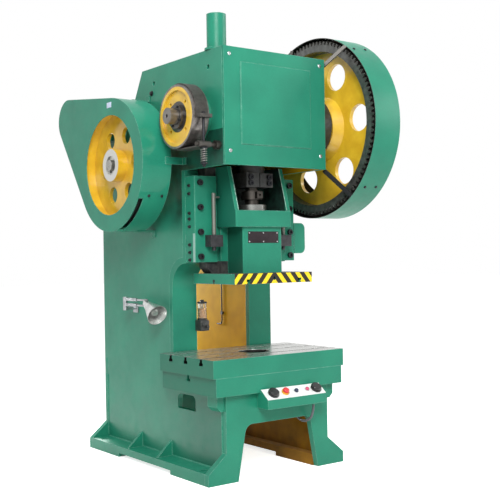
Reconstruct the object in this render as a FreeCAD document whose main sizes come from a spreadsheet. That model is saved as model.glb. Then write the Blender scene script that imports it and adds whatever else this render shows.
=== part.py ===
# Open-back mechanical stamping press, in millimetres.
# The row frame stands on the floor: X to the operator's right, Y to the back, Z up,
# with the origin in the middle of the anchor bolt pattern.
# Frame pieces are drawn from the face of the front leg plate, so their Y counts
# backwards from the operator, and each body is then shifted by half the base depth.
import FreeCAD, Part
import math
import os

import Sketcher
from FreeCAD import Vector
from types import SimpleNamespace

SIZES = {
    # heights of the head, the slide and what they carry are counted from the crank,
    # and places beside the frame from the outside of its cheeks
    "crank_height": 2425, "half_width": 440,
    # frame
    "base_depth": 1670, "cheek_thickness": 40, "leg_plate": 45,
    "foot_half_width": "=half_width + 145", "foot_edge_height": 75, "foot_flare_height": 195,
    "foot_inner": "=half_width - 105", "foot_plate": 50, "foot_top": 78, "foot_pad_length": 470,
    "anchor_x": "=half_width + 85", "anchor_inset": 142, "anchor_slot": 64, "anchor_width": 36,
    "rib_thickness": 22, "rib_height": 110, "rib_reach": 120, "rib_front": 684,
    "rib_back": 1100, "leg_gap_floor": "=half_width - 95", "leg_gap_top": "=half_width - 165",
    "leg_gap_height": 368, "leg_gap_round": 62, "bed_bottom": 576, "bed_top": 698,
    "bolster_top": 818, "bed_half": "=half_width + 102", "bolster_half": "=half_width + 122",
    "bed_overhang": 40, "bed_back": 620, "apron_wall": 50, "bed_deck": 62, "bed_hole": 115,
    "bolster_hole": 90, "bolster_step": 112, "bolster_step_depth": 12, "slot_neck": 26,
    "slot_head": 44, "slot_neck_depth": 26, "slot_head_depth": 20, "slot_pitch": 187,
    "bed_bracket_reach": 62, "bed_bracket_drop": 105, "bed_bracket_front": 12,
    "bed_bracket_width": 110, "bed_bracket_bevel": 30, "throat_face": 641, "throat_radius": 180,
    "throat_top": "=crank_height - 980", "flange_inner": "=half_width - 205",
    "flange_plate": 40, "guide_face": 454, "head_bottom": "=crank_height - 333",
    "head_top": "=crank_height + 446", "head_front": 28, "cover_plate": 14,
    "head_roof_back": 1016, "slope_bottom": "=crank_height - 675", "roof_plate": 20,
    "back_plate_bottom": "=crank_height - 925", "window_front": 360, "window_back": 587,
    "window_bottom": 428, "window_top": 533, "window_round": 40, "lift_hole": 17,
    "lift_front": 147, "lift_back": 852, "lift_height": "=crank_height + 331",
    # front cover with a pressed panel
    "cover_gap": 3, "cover_screw_low": 92, "panel_half": "=half_width - 138",
    "panel_bottom": "=crank_height - 195", "panel_top": "=crank_height + 353", "panel_proud": 7,
    "cover_screw_inset": 50, "cover_screw_hole": 7,
    # crank and its bearings
    "crank_back": 270, "throw": 65, "crank_pin": 75, "crank_web": 62, "crank_web_round": 165,
    "journal": 70, "brake_seat": 58, "crank_stub": 54, "stub_end": "=half_width + 252",
    "gear_end": "=half_width + 352", "web_gap": 4, "stub_bore": 12, "stub_bore_depth": 30,
    "bush_wall": 26, "bush_flange": 22, "bush_flange_wall": 60, "running_gap": 0.05,
    # connecting rod
    "rod_half": 56, "rod_front": 122, "rod_relief": 68, "rod_relief_rise": 16, "cap_relief": 50,
    "cap_relief_rise": 9, "rod_back_wall": 42, "rod_cheek": 50, "rod_clamp_half": 114,
    "rod_clamp_front": 98, "rod_clamp_bottom": "=crank_height - 457",
    "rod_clamp_top": "=crank_height - 358", "rod_stem": 92,
    "rod_neck_bottom": "=crank_height - 155", "rod_split": 8, "clamp_bolt_x": 80,
    "clamp_bolt_pitch": 42, "cap_bolt_x": 30, "cap_bolt_z": 108, "clamp_bolt_depth": 90,
    "cap_bolt_depth": 150, "rod_bolt": 12, "rod_bolt_head": 19, "rod_bolt_head_height": 14,
    # adjusting screw
    "ball_height": "=crank_height - 673", "screw": 45, "screw_top": "=crank_height - 163",
    "screw_room": 13, "screw_collar": 74, "collar_bottom": "=ball_height + 132",
    "collar_top": "=ball_height + 192", "boss_half": 24, "boss_reach": 98, "boss_hole": 8,
    "boss_hole_depth": 30, "ball": 78, "ball_gap": 0.3, "screw_neck": 50,
    # slide
    "slide_bottom": "=crank_height - 1125", "flange_top": "=crank_height - 1054",
    "slide_flange_half": "=half_width - 105", "slide_flange_front": 23,
    "slide_flange_back": 519, "slide_body_half": 170, "slide_body_front": 147,
    "slide_band_bottom": "=crank_height - 735", "slide_band_top": "=crank_height - 622",
    "slide_band_half": "=half_width - 198", "slide_band_front": 124,
    "slide_top": "=crank_height - 315", "slide_slope_back": 226, "slide_cavity_front": 158,
    "slide_cavity_back": 400, "slide_side_wall": 34, "slide_core_front": 330,
    "wing_half": "=half_width - 110", "wing_bevel": 42, "wing_front": 360, "guide_gap": 0.3,
    "slide_corner": 14, "shank_hole": 25, "shank_depth": 110, "shank_slot_x": 222, "ring": 103,
    "ring_top": "=ball_height + 94", "ring_bore": 58, "slide_back": 500, "slide_play": 5,
    "shank_screw": 13, "shank_screw_inset": 3, "shank_screw_socket": 7,
    # gibs and knock-out stops
    "gib_front": 339, "gib_inner": "=half_width - 185", "gib_bottom": "=crank_height - 974",
    "gib_top": "=crank_height - 379", "gib_bolt_x": "=half_width - 46",
    "gib_bolt_low": "=crank_height - 935", "gib_bolt_pitch": 170, "gib_bolt": 14,
    "gib_bolt_head": 21, "gib_bolt_head_height": 18, "gib_bolt_depth": 35,
    "stop_x": "=half_width - 136", "stop_half": 50, "stop_bottom": "=crank_height - 869",
    "stop_top": "=crank_height - 788", "stop_depth": 72, "stop_rod": 14,
    "stop_rod_top": "=crank_height - 498", "stop_rod_tip": "=crank_height - 895", "stop_pin": 7,
    "stop_pin_reach": 46, "stop_pin_drop": 28,
    # main gear, pinion and drive shaft
    "gear_module": 12, "gear_teeth": 105, "pinion_teeth": 17, "gear_left": "=half_width + 142",
    "gear_face": 120, "pinion_extra": 5, "backlash": 0.9, "gear_rim": 568, "gear_web": 30,
    "gear_web_set": 88, "gear_boss": 242, "gear_boss_end": 200,
    "gear_boss_left": "=half_width + 160", "gear_hub": 130,
    "gear_hub_right": "=half_width + 330", "gear_hole_ring": 402, "gear_hole": 97,
    "gear_hole_count": 6, "gear_hole_turn": 54, "shaft_back": 950, "drive_shaft": 40,
    "shaft_shoulder": 46, "shoulder_end": "=half_width - 64", "shaft_left": "=half_width + 328",
    "shaft_right": "=half_width + 276", "shaft_chamfer": 3, "bearing": 95, "bearing_boss": 66,
    "bearing_inside": 18, "bearing_plate": 18, "clutch": 225, "clutch_inner": 165,
    "clutch_wall": 20, "clutch_right": "=half_width + 128", "clutch_bore": 88,
    # flywheel and motor
    "flywheel": 440, "flywheel_left": "=half_width + 305", "flywheel_face": 132,
    "flywheel_rim": 385, "flywheel_web": 28, "flywheel_web_set": 68, "flywheel_hub": 116,
    "flywheel_hub_left": "=half_width + 312", "flywheel_hub_recess": 68,
    "flywheel_recess_depth": 22, "flywheel_hole_ring": 230, "flywheel_hole": 60,
    "flywheel_hole_count": 6, "flywheel_hole_turn": 56, "groove": 8, "groove_pitch": 26,
    "groove_depth": 14, "belt_count": 4, "motor_back": 1608,
    "motor_height": "=crank_height + 125", "motor_round": 128, "motor_right": 30,
    "motor_left": "=half_width + 80", "motor_shaft": 21, "pulley": 98, "motor_lift": 24,
    "motor_foot_half": 150, "motor_foot_width": 70, "motor_cover": 116,
    "motor_cover_length": 70, "bracket_plate": 26, "bracket_left": "=half_width - 40",
    "bracket_right": 110, "bracket_depth": 506, "bracket_drop": 192, "gusset": 20,
    "terminal_half": 60, "terminal_rise": 62, "terminal_set": 200, "belt_gap": 0.4,
    "belt_proud": 2,
    # guards
    "belt_guard_left": "=half_width + 323", "belt_guard_right": "=half_width + 95",
    "belt_guard": 478, "belt_guard_small": 165, "belt_guard_hole": 357, "sheet_steel": 5,
    "guard_slot_set": 8, "guard_slot": 36, "guard_slot_start": 213, "guard_slot_sweep": 42,
    "belt_tab": 50, "belt_tab_foot": 46, "tab_plate": 8, "gear_guard_left": "=half_width + 135",
    "gear_guard_right": "=half_width + 375", "gear_guard": 665, "gear_guard_small": 168,
    "gear_guard_hole": 505, "stay_width": 34, "stay_plate": 9,
    "stay_high": "=crank_height + 411", "stay_high_y": -20, "stay_high_angle": 124,
    "stay_low": "=crank_height - 345", "stay_low_y": -12, "stay_low_angle": 232,
    "stay_back_y": 620, "stay_back_z": "=crank_height - 25", "stay_back_angle": 70,
    # band brake
    "drum": 213, "drum_right": "=half_width + 57", "drum_left": "=half_width + 182",
    "drum_rim": 176, "drum_web": 30, "drum_recess": 18, "drum_hub": 82,
    "drum_hub_left": "=half_width + 188", "drum_hole": 12, "drum_hole_ring": 128,
    "band_lining": 6, "band_steel": 4, "band_left": "=half_width + 166",
    "band_right": "=half_width + 73", "band_gap": 0.3, "band_end_angle": 188,
    "band_lug_rise": 34, "band_lug": 24, "strap_plate": 10, "brake_rod": 9,
    "brake_rod_back": 32, "brake_rod_x": "=half_width + 120",
    "brake_rod_low": "=crank_height - 353", "brake_rod_top": "=crank_height - 17",
    "brake_pin_height": "=crank_height - 203", "brake_pin": 14,
    "brake_pin_end": "=half_width + 182", "brake_boss": 30, "brake_boss_reach": 36,
    "spring_wire": 6, "spring_round": 21, "spring_top": "=crank_height - 231",
    "spring_low": "=crank_height - 325", "spring_turns": 6, "nut": 12.5, "nut_height": 14,
    "washer": 26, "washer_height": 7,
    # small fittings
    "pipe_x": "=half_width - 70", "pipe_back": 143, "pipe": 66, "pipe_wall": 6,
    "pipe_top": "=crank_height + 690", "pipe_collar": 82, "pipe_collar_height": 14,
    "box_left": 182, "box_right": 323, "box_front": 120, "box_bottom": 470, "box_lip": 533,
    "box_rise": 593, "box_brow": 42, "box_top": 575, "box_wall": 4, "panel_plate": 3,
    "panel_margin": 9, "palm_x": 110, "palm_right_x": 262, "palm": 36, "palm_collar": 40,
    "palm_height": 20, "palm_travel": 6, "button_gap": 0.3, "stop_button_x": 8,
    "stop_button": 22, "stop_button_height": 24, "stop_travel": 5, "stop_collar": 27,
    "stop_collar_height": 12, "run_button_x": 88, "inch_button_x": 183, "button": 13,
    "button_height": 12, "button_travel": 3, "button_collar": 16, "button_collar_height": 5,
    "palm_collar_height": 12, "button_stem": 7, "stem_depth": 22, "button_rest": 1,
    "conduit": 9, "gland": 13, "gland_length": 16, "conduit_x": 258, "conduit_front": 62,
    "conduit_back": 138, "arc_share": 0.45, "side_box_front": 339, "side_box_back": 470,
    "side_box_out": "=half_width + 101", "side_box_low": "=crank_height - 922",
    "side_box_high": "=crank_height - 698", "side_box_round": 42, "lube_x": "=half_width - 225",
    "lube_back": 600, "lube_glass": 34,
    "lube_low": "=bolster_top + (throat_top - bolster_top) * 214 / 627",
    "lube_high": "=bolster_top + (throat_top - bolster_top) * 347 / 627", "lube_cap": 36,
    "lube_cap_height": 14,
    "lube_block_low": "=bolster_top + (throat_top - bolster_top) * 138 / 627",
    "lube_block_half": 36, "lube_neck": 14, "lube_pipe": 5, "lube_pipe_back": 1223,
    "lube_pipe_top": "=crank_height - 945", "lube_pipe_low": 937, "lube_pipe_bend": 30,
    "lube_pipe_end": 1293, "pipe_clip": 12, "lamp_back": 1154, "lamp_height": 1160,
    "lamp_plate": 10, "lamp_plate_half": 34, "lamp_post": 13, "lamp_bar": 11, "lamp_offset": 95,
    "lamp_arm": 7, "lamp_reach": 306, "lamp_arm_spread": 20, "lamp_shade": 76, "lamp_neck": 34,
    "lamp_length": 130, "lamp_neck_length": 46, "lamp_tilt": 28, "lamp_wall": 3,
    "lamp_knob": 17, "lamp_pin": 6, "lamp_bulb": 27, "lamp_lug": 8,
    # shared
    "seat_gap": 0.3, "cut_margin": 20,
}

doc = FreeCAD.newDocument("stamping_press")
sheet = doc.addObject("Spreadsheet::Sheet", "size")
for row, (alias, value) in enumerate(SIZES.items(), 1):
    sheet.set(f"A{row}", alias.replace("_", " "))
    sheet.set(f"B{row}", str(value))
    sheet.setAlias(f"B{row}", alias)
doc.recompute()
size = SimpleNamespace(**{alias: float(sheet.get(alias)) for alias in SIZES})

FRONT = "-size.base_depth / 2"
CRANK_Y = "size.crank_back - size.base_depth / 2"
SHAFT_Y = "size.shaft_back - size.base_depth / 2"
front = -size.base_depth / 2
pieces = {}

# the drive shaft lies where its pinion meshes with the main gear
gear_centres = size.gear_module * (size.gear_teeth + size.pinion_teeth) / 2
shaft_run = size.shaft_back - size.crank_back
shaft_height = size.crank_height - math.sqrt(gear_centres ** 2 - shaft_run ** 2)
SHAFT_Z = ("size.crank_height - sqrt((size.gear_module * (size.gear_teeth + size.pinion_teeth)"
           " / 2) ^ 2 - (size.shaft_back - size.crank_back) ^ 2)")


class Piece:
    """One sub-part: a body with its label, its place and its features."""

    def __init__(self, label, x="0", y=FRONT, z="0", tilt=None):
        self.label = label
        self.body = doc.addObject("PartDesign::Body", label)
        self.body.Label = label
        if tilt:
            self.body.Placement = FreeCAD.Placement(Vector(), Vector(1, 0, 0), 1)
            self.body.setExpression("Placement.Rotation.Angle", tilt)
        for axis, place in zip("xyz", (x, y, z)):
            self.body.setExpression(f"Placement.Base.{axis}", place)
        pieces[label] = self.body

    def sketch(self, plane, at):
        drawing = self.body.newObject("Sketcher::SketchObject", f"{self.label}_sketch")
        support = next(f for f in self.body.Origin.OriginFeatures if f.Role == f"{plane}_Plane")
        drawing.AttachmentSupport = [(support, "")]
        drawing.MapMode = "FlatFace"
        # the XZ plane faces the operator, so its offset counts the other way
        drawing.setExpression("AttachmentOffset.Base.z", f"-({at})" if plane == "XZ" else at)
        return drawing

    def draw(self, drawing, corners, circles):
        first = drawing.GeometryCount
        count = len(corners)
        spots = [Vector(math.cos(6.28 * i / max(count, 1)), math.sin(6.28 * i / max(count, 1)), 0)
                 for i in range(count)]
        for i in range(count):
            drawing.addGeometry(Part.LineSegment(spots[i] * 100, spots[(i + 1) % count] * 100))
        for i in range(count):
            following = first + (i + 1) % count
            drawing.addConstraint(Sketcher.Constraint("Coincident", first + i, 2, following, 1))
        for i, corner in enumerate(corners):
            self.pin(drawing, first + i, 1, corner)
        for across, up, radius in circles:
            made = drawing.addGeometry(Part.Circle(Vector(0, 0, 0), Vector(0, 0, 1), 10))
            self.pin(drawing, made, 3, (across, up))
            tie = drawing.addConstraint(Sketcher.Constraint("Radius", made, 10))
            drawing.setExpression(f"Constraints[{tie}]", radius)

    def pin(self, drawing, geometry, point, place):
        for kind, text in zip(("DistanceX", "DistanceY"), place):
            tie = drawing.addConstraint(Sketcher.Constraint(kind, -1, 1, geometry, point, 1.0))
            drawing.setExpression(f"Constraints[{tie}]", text)

    def pad(self, plane, at, length, corners=(), circles=(), holes=()):
        """Material from the plane at 'at', growing along the positive axis."""
        drawing = self.sketch(plane, at)
        self.draw(drawing, corners, list(circles) + list(holes))
        feature = self.body.newObject("PartDesign::Pad", f"{self.label}_pad")
        feature.Profile = drawing
        feature.setExpression("Length", length)
        feature.Reversed = plane == "XZ"
        doc.recompute()
        return feature

    def cut(self, plane, at, length, corners=(), circles=()):
        """A pocket from the plane at 'at', cutting along the positive axis."""
        before = self.body.Shape.Volume
        drawing = self.sketch(plane, at)
        self.draw(drawing, corners, circles)
        feature = self.body.newObject("PartDesign::Pocket", f"{self.label}_pocket")
        feature.Profile = drawing
        feature.setExpression("Length", length)
        feature.Reversed = plane != "XZ"
        doc.recompute()
        if self.body.Shape.Volume >= before - 1:
            raise RuntimeError(f"a pocket of {self.label} cuts nothing")
        return feature

    def turn(self, corners, axis):
        """A profile of (along the axis, radius) corners, revolved about X or Z."""
        drawing = self.sketch("XY" if axis == "X" else "XZ", "0")
        along = corners if axis == "X" else [(radius, height) for height, radius in corners]
        self.draw(drawing, along, ())
        feature = self.body.newObject("PartDesign::Revolution", f"{self.label}_turn")
        feature.Profile = drawing
        feature.ReferenceAxis = (drawing, ["H_Axis" if axis == "X" else "V_Axis"])
        feature.Angle = 360
        doc.recompute()
        return feature

    def soften(self, kind, amount, wanted):
        """A fillet or chamfer on the edges that 'wanted' picks from the local shape."""
        tip = self.body.Tip
        names = [f"Edge{i}" for i, edge in enumerate(tip.Shape.Edges, 1) if wanted(edge)]
        if not names:
            raise RuntimeError(f"no edge of {self.label} to soften")
        feature = self.body.newObject(f"PartDesign::{kind}", f"{self.label}_{kind.lower()}")
        feature.Base = (tip, names)
        feature.setExpression("Radius" if kind == "Fillet" else "Size", amount)
        doc.recompute()
        if self.body.Shape.Volume == tip.Shape.Volume:
            raise RuntimeError(f"an edge of {self.label} was not softened")
        return feature


def at(**place):
    """A test for straight edges whose ends all lie at the given coordinates."""
    def wanted(edge):
        ends = edge.Vertexes
        return len(ends) == 2 and all(
            abs(getattr(end, name.upper()) - value) < 0.01
            for end in ends for name, value in place.items())
    return wanted


def either(*tests):
    return lambda edge: any(test(edge) for test in tests)


def rectangle(low_a, high_a, low_b, high_b):
    return [(low_a, low_b), (high_a, low_b), (high_a, high_b), (low_a, high_b)]


def solid(label, shape):
    """A sub-part whose form only code can give."""
    feature = doc.addObject("Part::Feature", label)
    feature.Label = label
    feature.Shape = shape.removeSplitter()
    pieces[label] = feature
    return feature


def cylinder(radius, length, base, axis):
    return Part.makeCylinder(radius, length, Vector(*base), Vector(*axis))


def block(low, high):
    low, high = Vector(*low), Vector(*high)
    return Part.makeBox(high.x - low.x, high.y - low.y, high.z - low.z, low)


def fused(shapes):
    return shapes[0].multiFuse(shapes[1:]) if len(shapes) > 1 else shapes[0]


def on_side(side, near, far):
    """Start of a slab that spans near..far from the centre plane on one side."""
    return f"-({far})" if side < 0 else near


def mirrored(side, text):
    """An X expression written for the right side, turned over for the left."""
    return f"-({text})" if side < 0 else text


# ---- frame -----------------------------------------------------------------------------
SIDES = (("left", -1), ("right", 1))
SLOPE = "(size.base_depth - size.head_roof_back) / (size.head_top - size.slope_bottom)"
COVER_BACK = "-size.head_front + size.cover_plate"
BED_CENTRE = "(size.bed_back - size.bed_overhang) / 2"
MOTOR_SEAT = "size.motor_height - size.motor_round - size.motor_lift"


def make_cheek(name, side):
    """One side plate: base window, throat curve, guide edge, head and sloping back."""
    cheek = Piece(f"{name}_cheek")
    start = on_side(side, "size.half_width - size.cheek_thickness", "size.half_width")
    flange_back = "size.guide_face + size.flange_plate"
    throat_back = "size.throat_face + size.flange_plate"
    throat_roof = "size.throat_top + size.flange_plate"
    cheek.pad("YZ", start, "size.cheek_thickness", [
        ("size.leg_plate", "size.foot_top"), ("size.leg_plate", "size.bed_bottom"),
        (throat_back, "size.bed_bottom"), (throat_back, throat_roof),
        (flange_back, throat_roof), (flange_back, "size.head_bottom"),
        (COVER_BACK, "size.head_bottom"), (COVER_BACK, "size.head_top"),
        ("size.head_roof_back", "size.head_top"), ("size.base_depth", "size.slope_bottom"),
        ("size.base_depth", "size.bed_top"),
        ("size.base_depth - size.leg_plate", "size.bed_top"),
        ("size.base_depth - size.leg_plate", "size.foot_top"),
    ], holes=[
        ("size.crank_back", "size.crank_height", "size.journal + size.bush_wall"),
        ("size.shaft_back", SHAFT_Z, "size.bearing_boss"),
        ("size.lift_front", "size.lift_height", "size.lift_hole"),
        ("size.lift_back", "size.lift_height", "size.lift_hole"),
    ])
    cheek.soften("Fillet", "size.throat_radius", at(
        y=size.throat_face + size.flange_plate, z=size.throat_top + size.flange_plate))
    cheek.cut("YZ", start, "size.cheek_thickness", rectangle(
        "size.window_front", "size.window_back", "size.window_bottom", "size.window_top"))
    cheek.soften("Fillet", "size.window_round", either(
        at(y=size.window_front, z=size.window_top), at(y=size.window_back, z=size.window_top)))


def make_leg_plate(label, start):
    """End plate of the base, spread at its feet round a tapering gap."""
    plate = Piece(label)
    plate.pad("XZ", start, "size.leg_plate", [
        ("-size.foot_half_width", "0"), ("-size.leg_gap_floor", "0"),
        ("-size.leg_gap_top", "size.leg_gap_height"), ("size.leg_gap_top", "size.leg_gap_height"),
        ("size.leg_gap_floor", "0"), ("size.foot_half_width", "0"),
        ("size.foot_half_width", "size.foot_edge_height"),
        ("size.half_width", "size.foot_flare_height"), ("size.half_width", "size.bed_bottom"),
        ("-size.half_width", "size.bed_bottom"), ("-size.half_width", "size.foot_flare_height"),
        ("-size.foot_half_width", "size.foot_edge_height"),
    ])
    plate.soften("Fillet", "size.leg_gap_round", either(
        at(x=size.leg_gap_top, z=size.leg_gap_height),
        at(x=-size.leg_gap_top, z=size.leg_gap_height)))


def make_foot(name, side):
    """Bottom flange of one side, with its pads, ribs and anchor slots."""
    foot = Piece(f"{name}_foot")
    inner = mirrored(side, "size.foot_inner")
    outer = mirrored(side, "size.foot_half_width")
    back = "size.base_depth - size.leg_plate"
    foot.pad("XY", "size.foot_top - size.foot_plate", "size.foot_plate",
             rectangle(inner, outer, "size.leg_plate", back))
    for low, high in (("size.leg_plate", "size.foot_pad_length"),
                      ("size.base_depth - size.foot_pad_length", back)):
        foot.pad("XY", "0", "size.foot_top - size.foot_plate", rectangle(inner, outer, low, high))
    for rib in ("size.rib_front", "size.rib_back"):
        foot.pad("XZ", f"{rib} - size.rib_thickness / 2", "size.rib_thickness", [
            (mirrored(side, "size.half_width"), "size.foot_top"),
            (mirrored(side, "size.half_width + size.rib_reach"), "size.foot_top"),
            (mirrored(side, "size.half_width"), "size.foot_top + size.rib_height")])
    middle = mirrored(side, "size.anchor_x")
    reach = "(size.anchor_slot - size.anchor_width) / 2"
    for place in ("size.anchor_inset", "size.base_depth - size.anchor_inset"):
        foot.cut("XY", "0", "size.foot_top", rectangle(
            f"{middle} - {reach}", f"{middle} + {reach}",
            f"{place} - size.anchor_width / 2", f"{place} + size.anchor_width / 2"))
        for end in ("-", "+"):
            foot.cut("XY", "0", "size.foot_top",
                     circles=[(f"{middle} {end} {reach}", place, "size.anchor_width / 2")])


def tee_slot(place, top):
    """Section of a T slot that opens upwards at 'top', centred on 'place'."""
    neck, head = "size.slot_neck / 2", "size.slot_head / 2"
    lip = f"{top} - size.slot_neck_depth"
    floor = f"{lip} - size.slot_head_depth"
    return [(f"{place} - {neck}", f"{top} + size.cut_margin"), (f"{place} - {neck}", lip),
            (f"{place} - {head}", lip), (f"{place} - {head}", floor),
            (f"{place} + {head}", floor), (f"{place} + {head}", lip),
            (f"{place} + {neck}", lip), (f"{place} + {neck}", f"{top} + size.cut_margin")]


def make_bed():
    """Bed block on the cheeks, open below, with a slug hole and brackets at its overhang."""
    bed = Piece("bed_plate")
    bed.pad("XY", "size.bed_bottom", "size.bed_top - size.bed_bottom", rectangle(
        "-size.bed_half", "size.bed_half", "-size.bed_overhang", "size.bed_back"))
    for side in (-1, 1):
        out = "size.half_width + size.bed_bracket_reach"
        low = "size.bed_bottom - size.bed_bracket_drop"
        bed.pad("XZ", "size.bed_bracket_front", "size.bed_bracket_width", [
            (mirrored(side, "size.half_width"), "size.bed_bottom"),
            (mirrored(side, out), "size.bed_bottom"),
            (mirrored(side, out), f"{low} + size.bed_bracket_bevel"),
            (mirrored(side, f"{out} - size.bed_bracket_bevel"), low),
            (mirrored(side, "size.half_width"), low)])
    inside = "size.half_width - size.cheek_thickness"
    bed.cut("XY", "size.bed_bottom", "size.bed_top - size.bed_bottom - size.bed_deck", rectangle(
        f"-({inside})", inside, "size.leg_plate", "size.bed_back - size.apron_wall"))
    bed.cut("XY", "size.bed_bottom", "size.bed_top - size.bed_bottom",
            circles=[("0", "size.crank_back", "size.bed_hole")])
    bed.pad("XY", "size.bed_top - size.bed_deck - size.gland_length", "size.gland_length",
            circles=[("size.conduit_x", "size.conduit_back", "size.gland"),
                     ("size.conduit_x", "size.conduit_back", "size.conduit + size.seat_gap")])
    bed.cut("YZ", "-size.bed_half", "2 * size.bed_half", tee_slot(BED_CENTRE, "size.bed_top"))


def make_bolster():
    """Bolster plate: three T slots across it and a stepped die hole."""
    bolster = Piece("bolster_plate")
    bolster.pad("XY", "size.bed_top", "size.bolster_top - size.bed_top", rectangle(
        "-size.bolster_half", "size.bolster_half", "-size.bed_overhang", "size.bed_back"),
        holes=[("0", "size.crank_back", "size.bolster_hole")])
    bolster.cut("XY", "size.bolster_top - size.bolster_step_depth", "size.bolster_step_depth",
                circles=[("0", "size.crank_back", "size.bolster_step")])
    for row in (-1, 0, 1):
        bolster.cut("YZ", "-size.bolster_half", "2 * size.bolster_half", tee_slot(
            f"{BED_CENTRE} + {row} * size.slot_pitch", "size.bolster_top"))


def make_throat_flange(name, side):
    """Bent flange that faces the throat, curves under the head and carries a gib."""
    flange = Piece(f"{name}_throat_flange")
    outer_y, outer_z = "size.throat_face", "size.throat_top"
    back_y = "size.throat_face + size.flange_plate"
    back_z = "size.throat_top + size.flange_plate"
    flange.pad("YZ", on_side(side, "size.flange_inner", "size.half_width"),
               "size.half_width - size.flange_inner", [
        (outer_y, "size.bed_bottom"), (outer_y, outer_z), ("size.guide_face", outer_z),
        ("size.guide_face", "size.head_bottom"),
        ("size.guide_face + size.flange_plate", "size.head_bottom"),
        ("size.guide_face + size.flange_plate", back_z), (back_y, back_z),
        (back_y, "size.bed_bottom")])
    flange.soften("Fillet", "size.throat_radius", either(
        at(y=size.throat_face, z=size.throat_top),
        at(y=size.throat_face + size.flange_plate, z=size.throat_top + size.flange_plate)))
    flange.pad("XY", "size.leg_gap_height", "size.bed_bottom - size.leg_gap_height", rectangle(
        mirrored(side, "size.flange_inner"),
        mirrored(side, "size.half_width - size.cheek_thickness"), outer_y, back_y))
    flange.cut("XZ", "size.guide_face", "size.gib_bolt_depth + size.seat_gap", circles=[
        (mirrored(side, "size.gib_bolt_x"), f"size.gib_bolt_low + {row} * size.gib_bolt_pitch",
         "size.gib_bolt + size.seat_gap") for row in range(4)])


def make_head():
    """Roof, web, sloping back and the screwed front cover with its pressed panel."""
    inside = "size.half_width - size.cheek_thickness"
    roof = Piece("roof_plate")
    roof.pad("XY", "size.head_top - size.roof_plate", "size.roof_plate", rectangle(
        f"-({inside})", inside, COVER_BACK, "size.head_roof_back"))
    web = Piece("web_plate")
    web.pad("XY", "size.back_plate_bottom - size.roof_plate", "size.roof_plate", rectangle(
        f"-({inside})", inside, "size.throat_face + size.flange_plate", "size.base_depth"))
    back = Piece("rear_plate")
    top = "size.head_top - size.roof_plate"
    lean = f"size.roof_plate * {SLOPE}"
    inner = "size.base_depth - size.roof_plate"
    back.pad("YZ", f"-({inside})", f"2 * ({inside})", [
        (f"size.head_roof_back + {lean}", top), ("size.base_depth", "size.slope_bottom"),
        ("size.base_depth", "size.back_plate_bottom"), (inner, "size.back_plate_bottom"),
        (inner, "size.slope_bottom"), (f"size.head_roof_back + {lean} - size.roof_plate", top)])
    cover = Piece("front_cover")
    edge = "size.half_width - size.cover_gap"
    screw = "size.half_width - size.cover_screw_inset"
    low, high = "size.head_bottom + size.cover_screw_low", "size.head_top - size.cover_screw_inset"
    cover.pad("XZ", "-size.head_front", "size.cover_plate", rectangle(
        f"-({edge})", edge, "size.head_bottom", "size.head_top"), holes=[
        (across, up, "size.cover_screw_hole") for across in (screw, f"-({screw})")
        for up in (low, high)])
    cover.pad("XZ", "-size.head_front - size.panel_proud", "size.panel_proud", rectangle(
        "-size.panel_half", "size.panel_half", "size.panel_bottom", "size.panel_top"))
    cover.soften("Chamfer", "size.panel_proud * 0.6", lambda edge: all(
        abs(end.Y + size.head_front + size.panel_proud) < 0.01 for end in edge.Vertexes))


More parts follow.
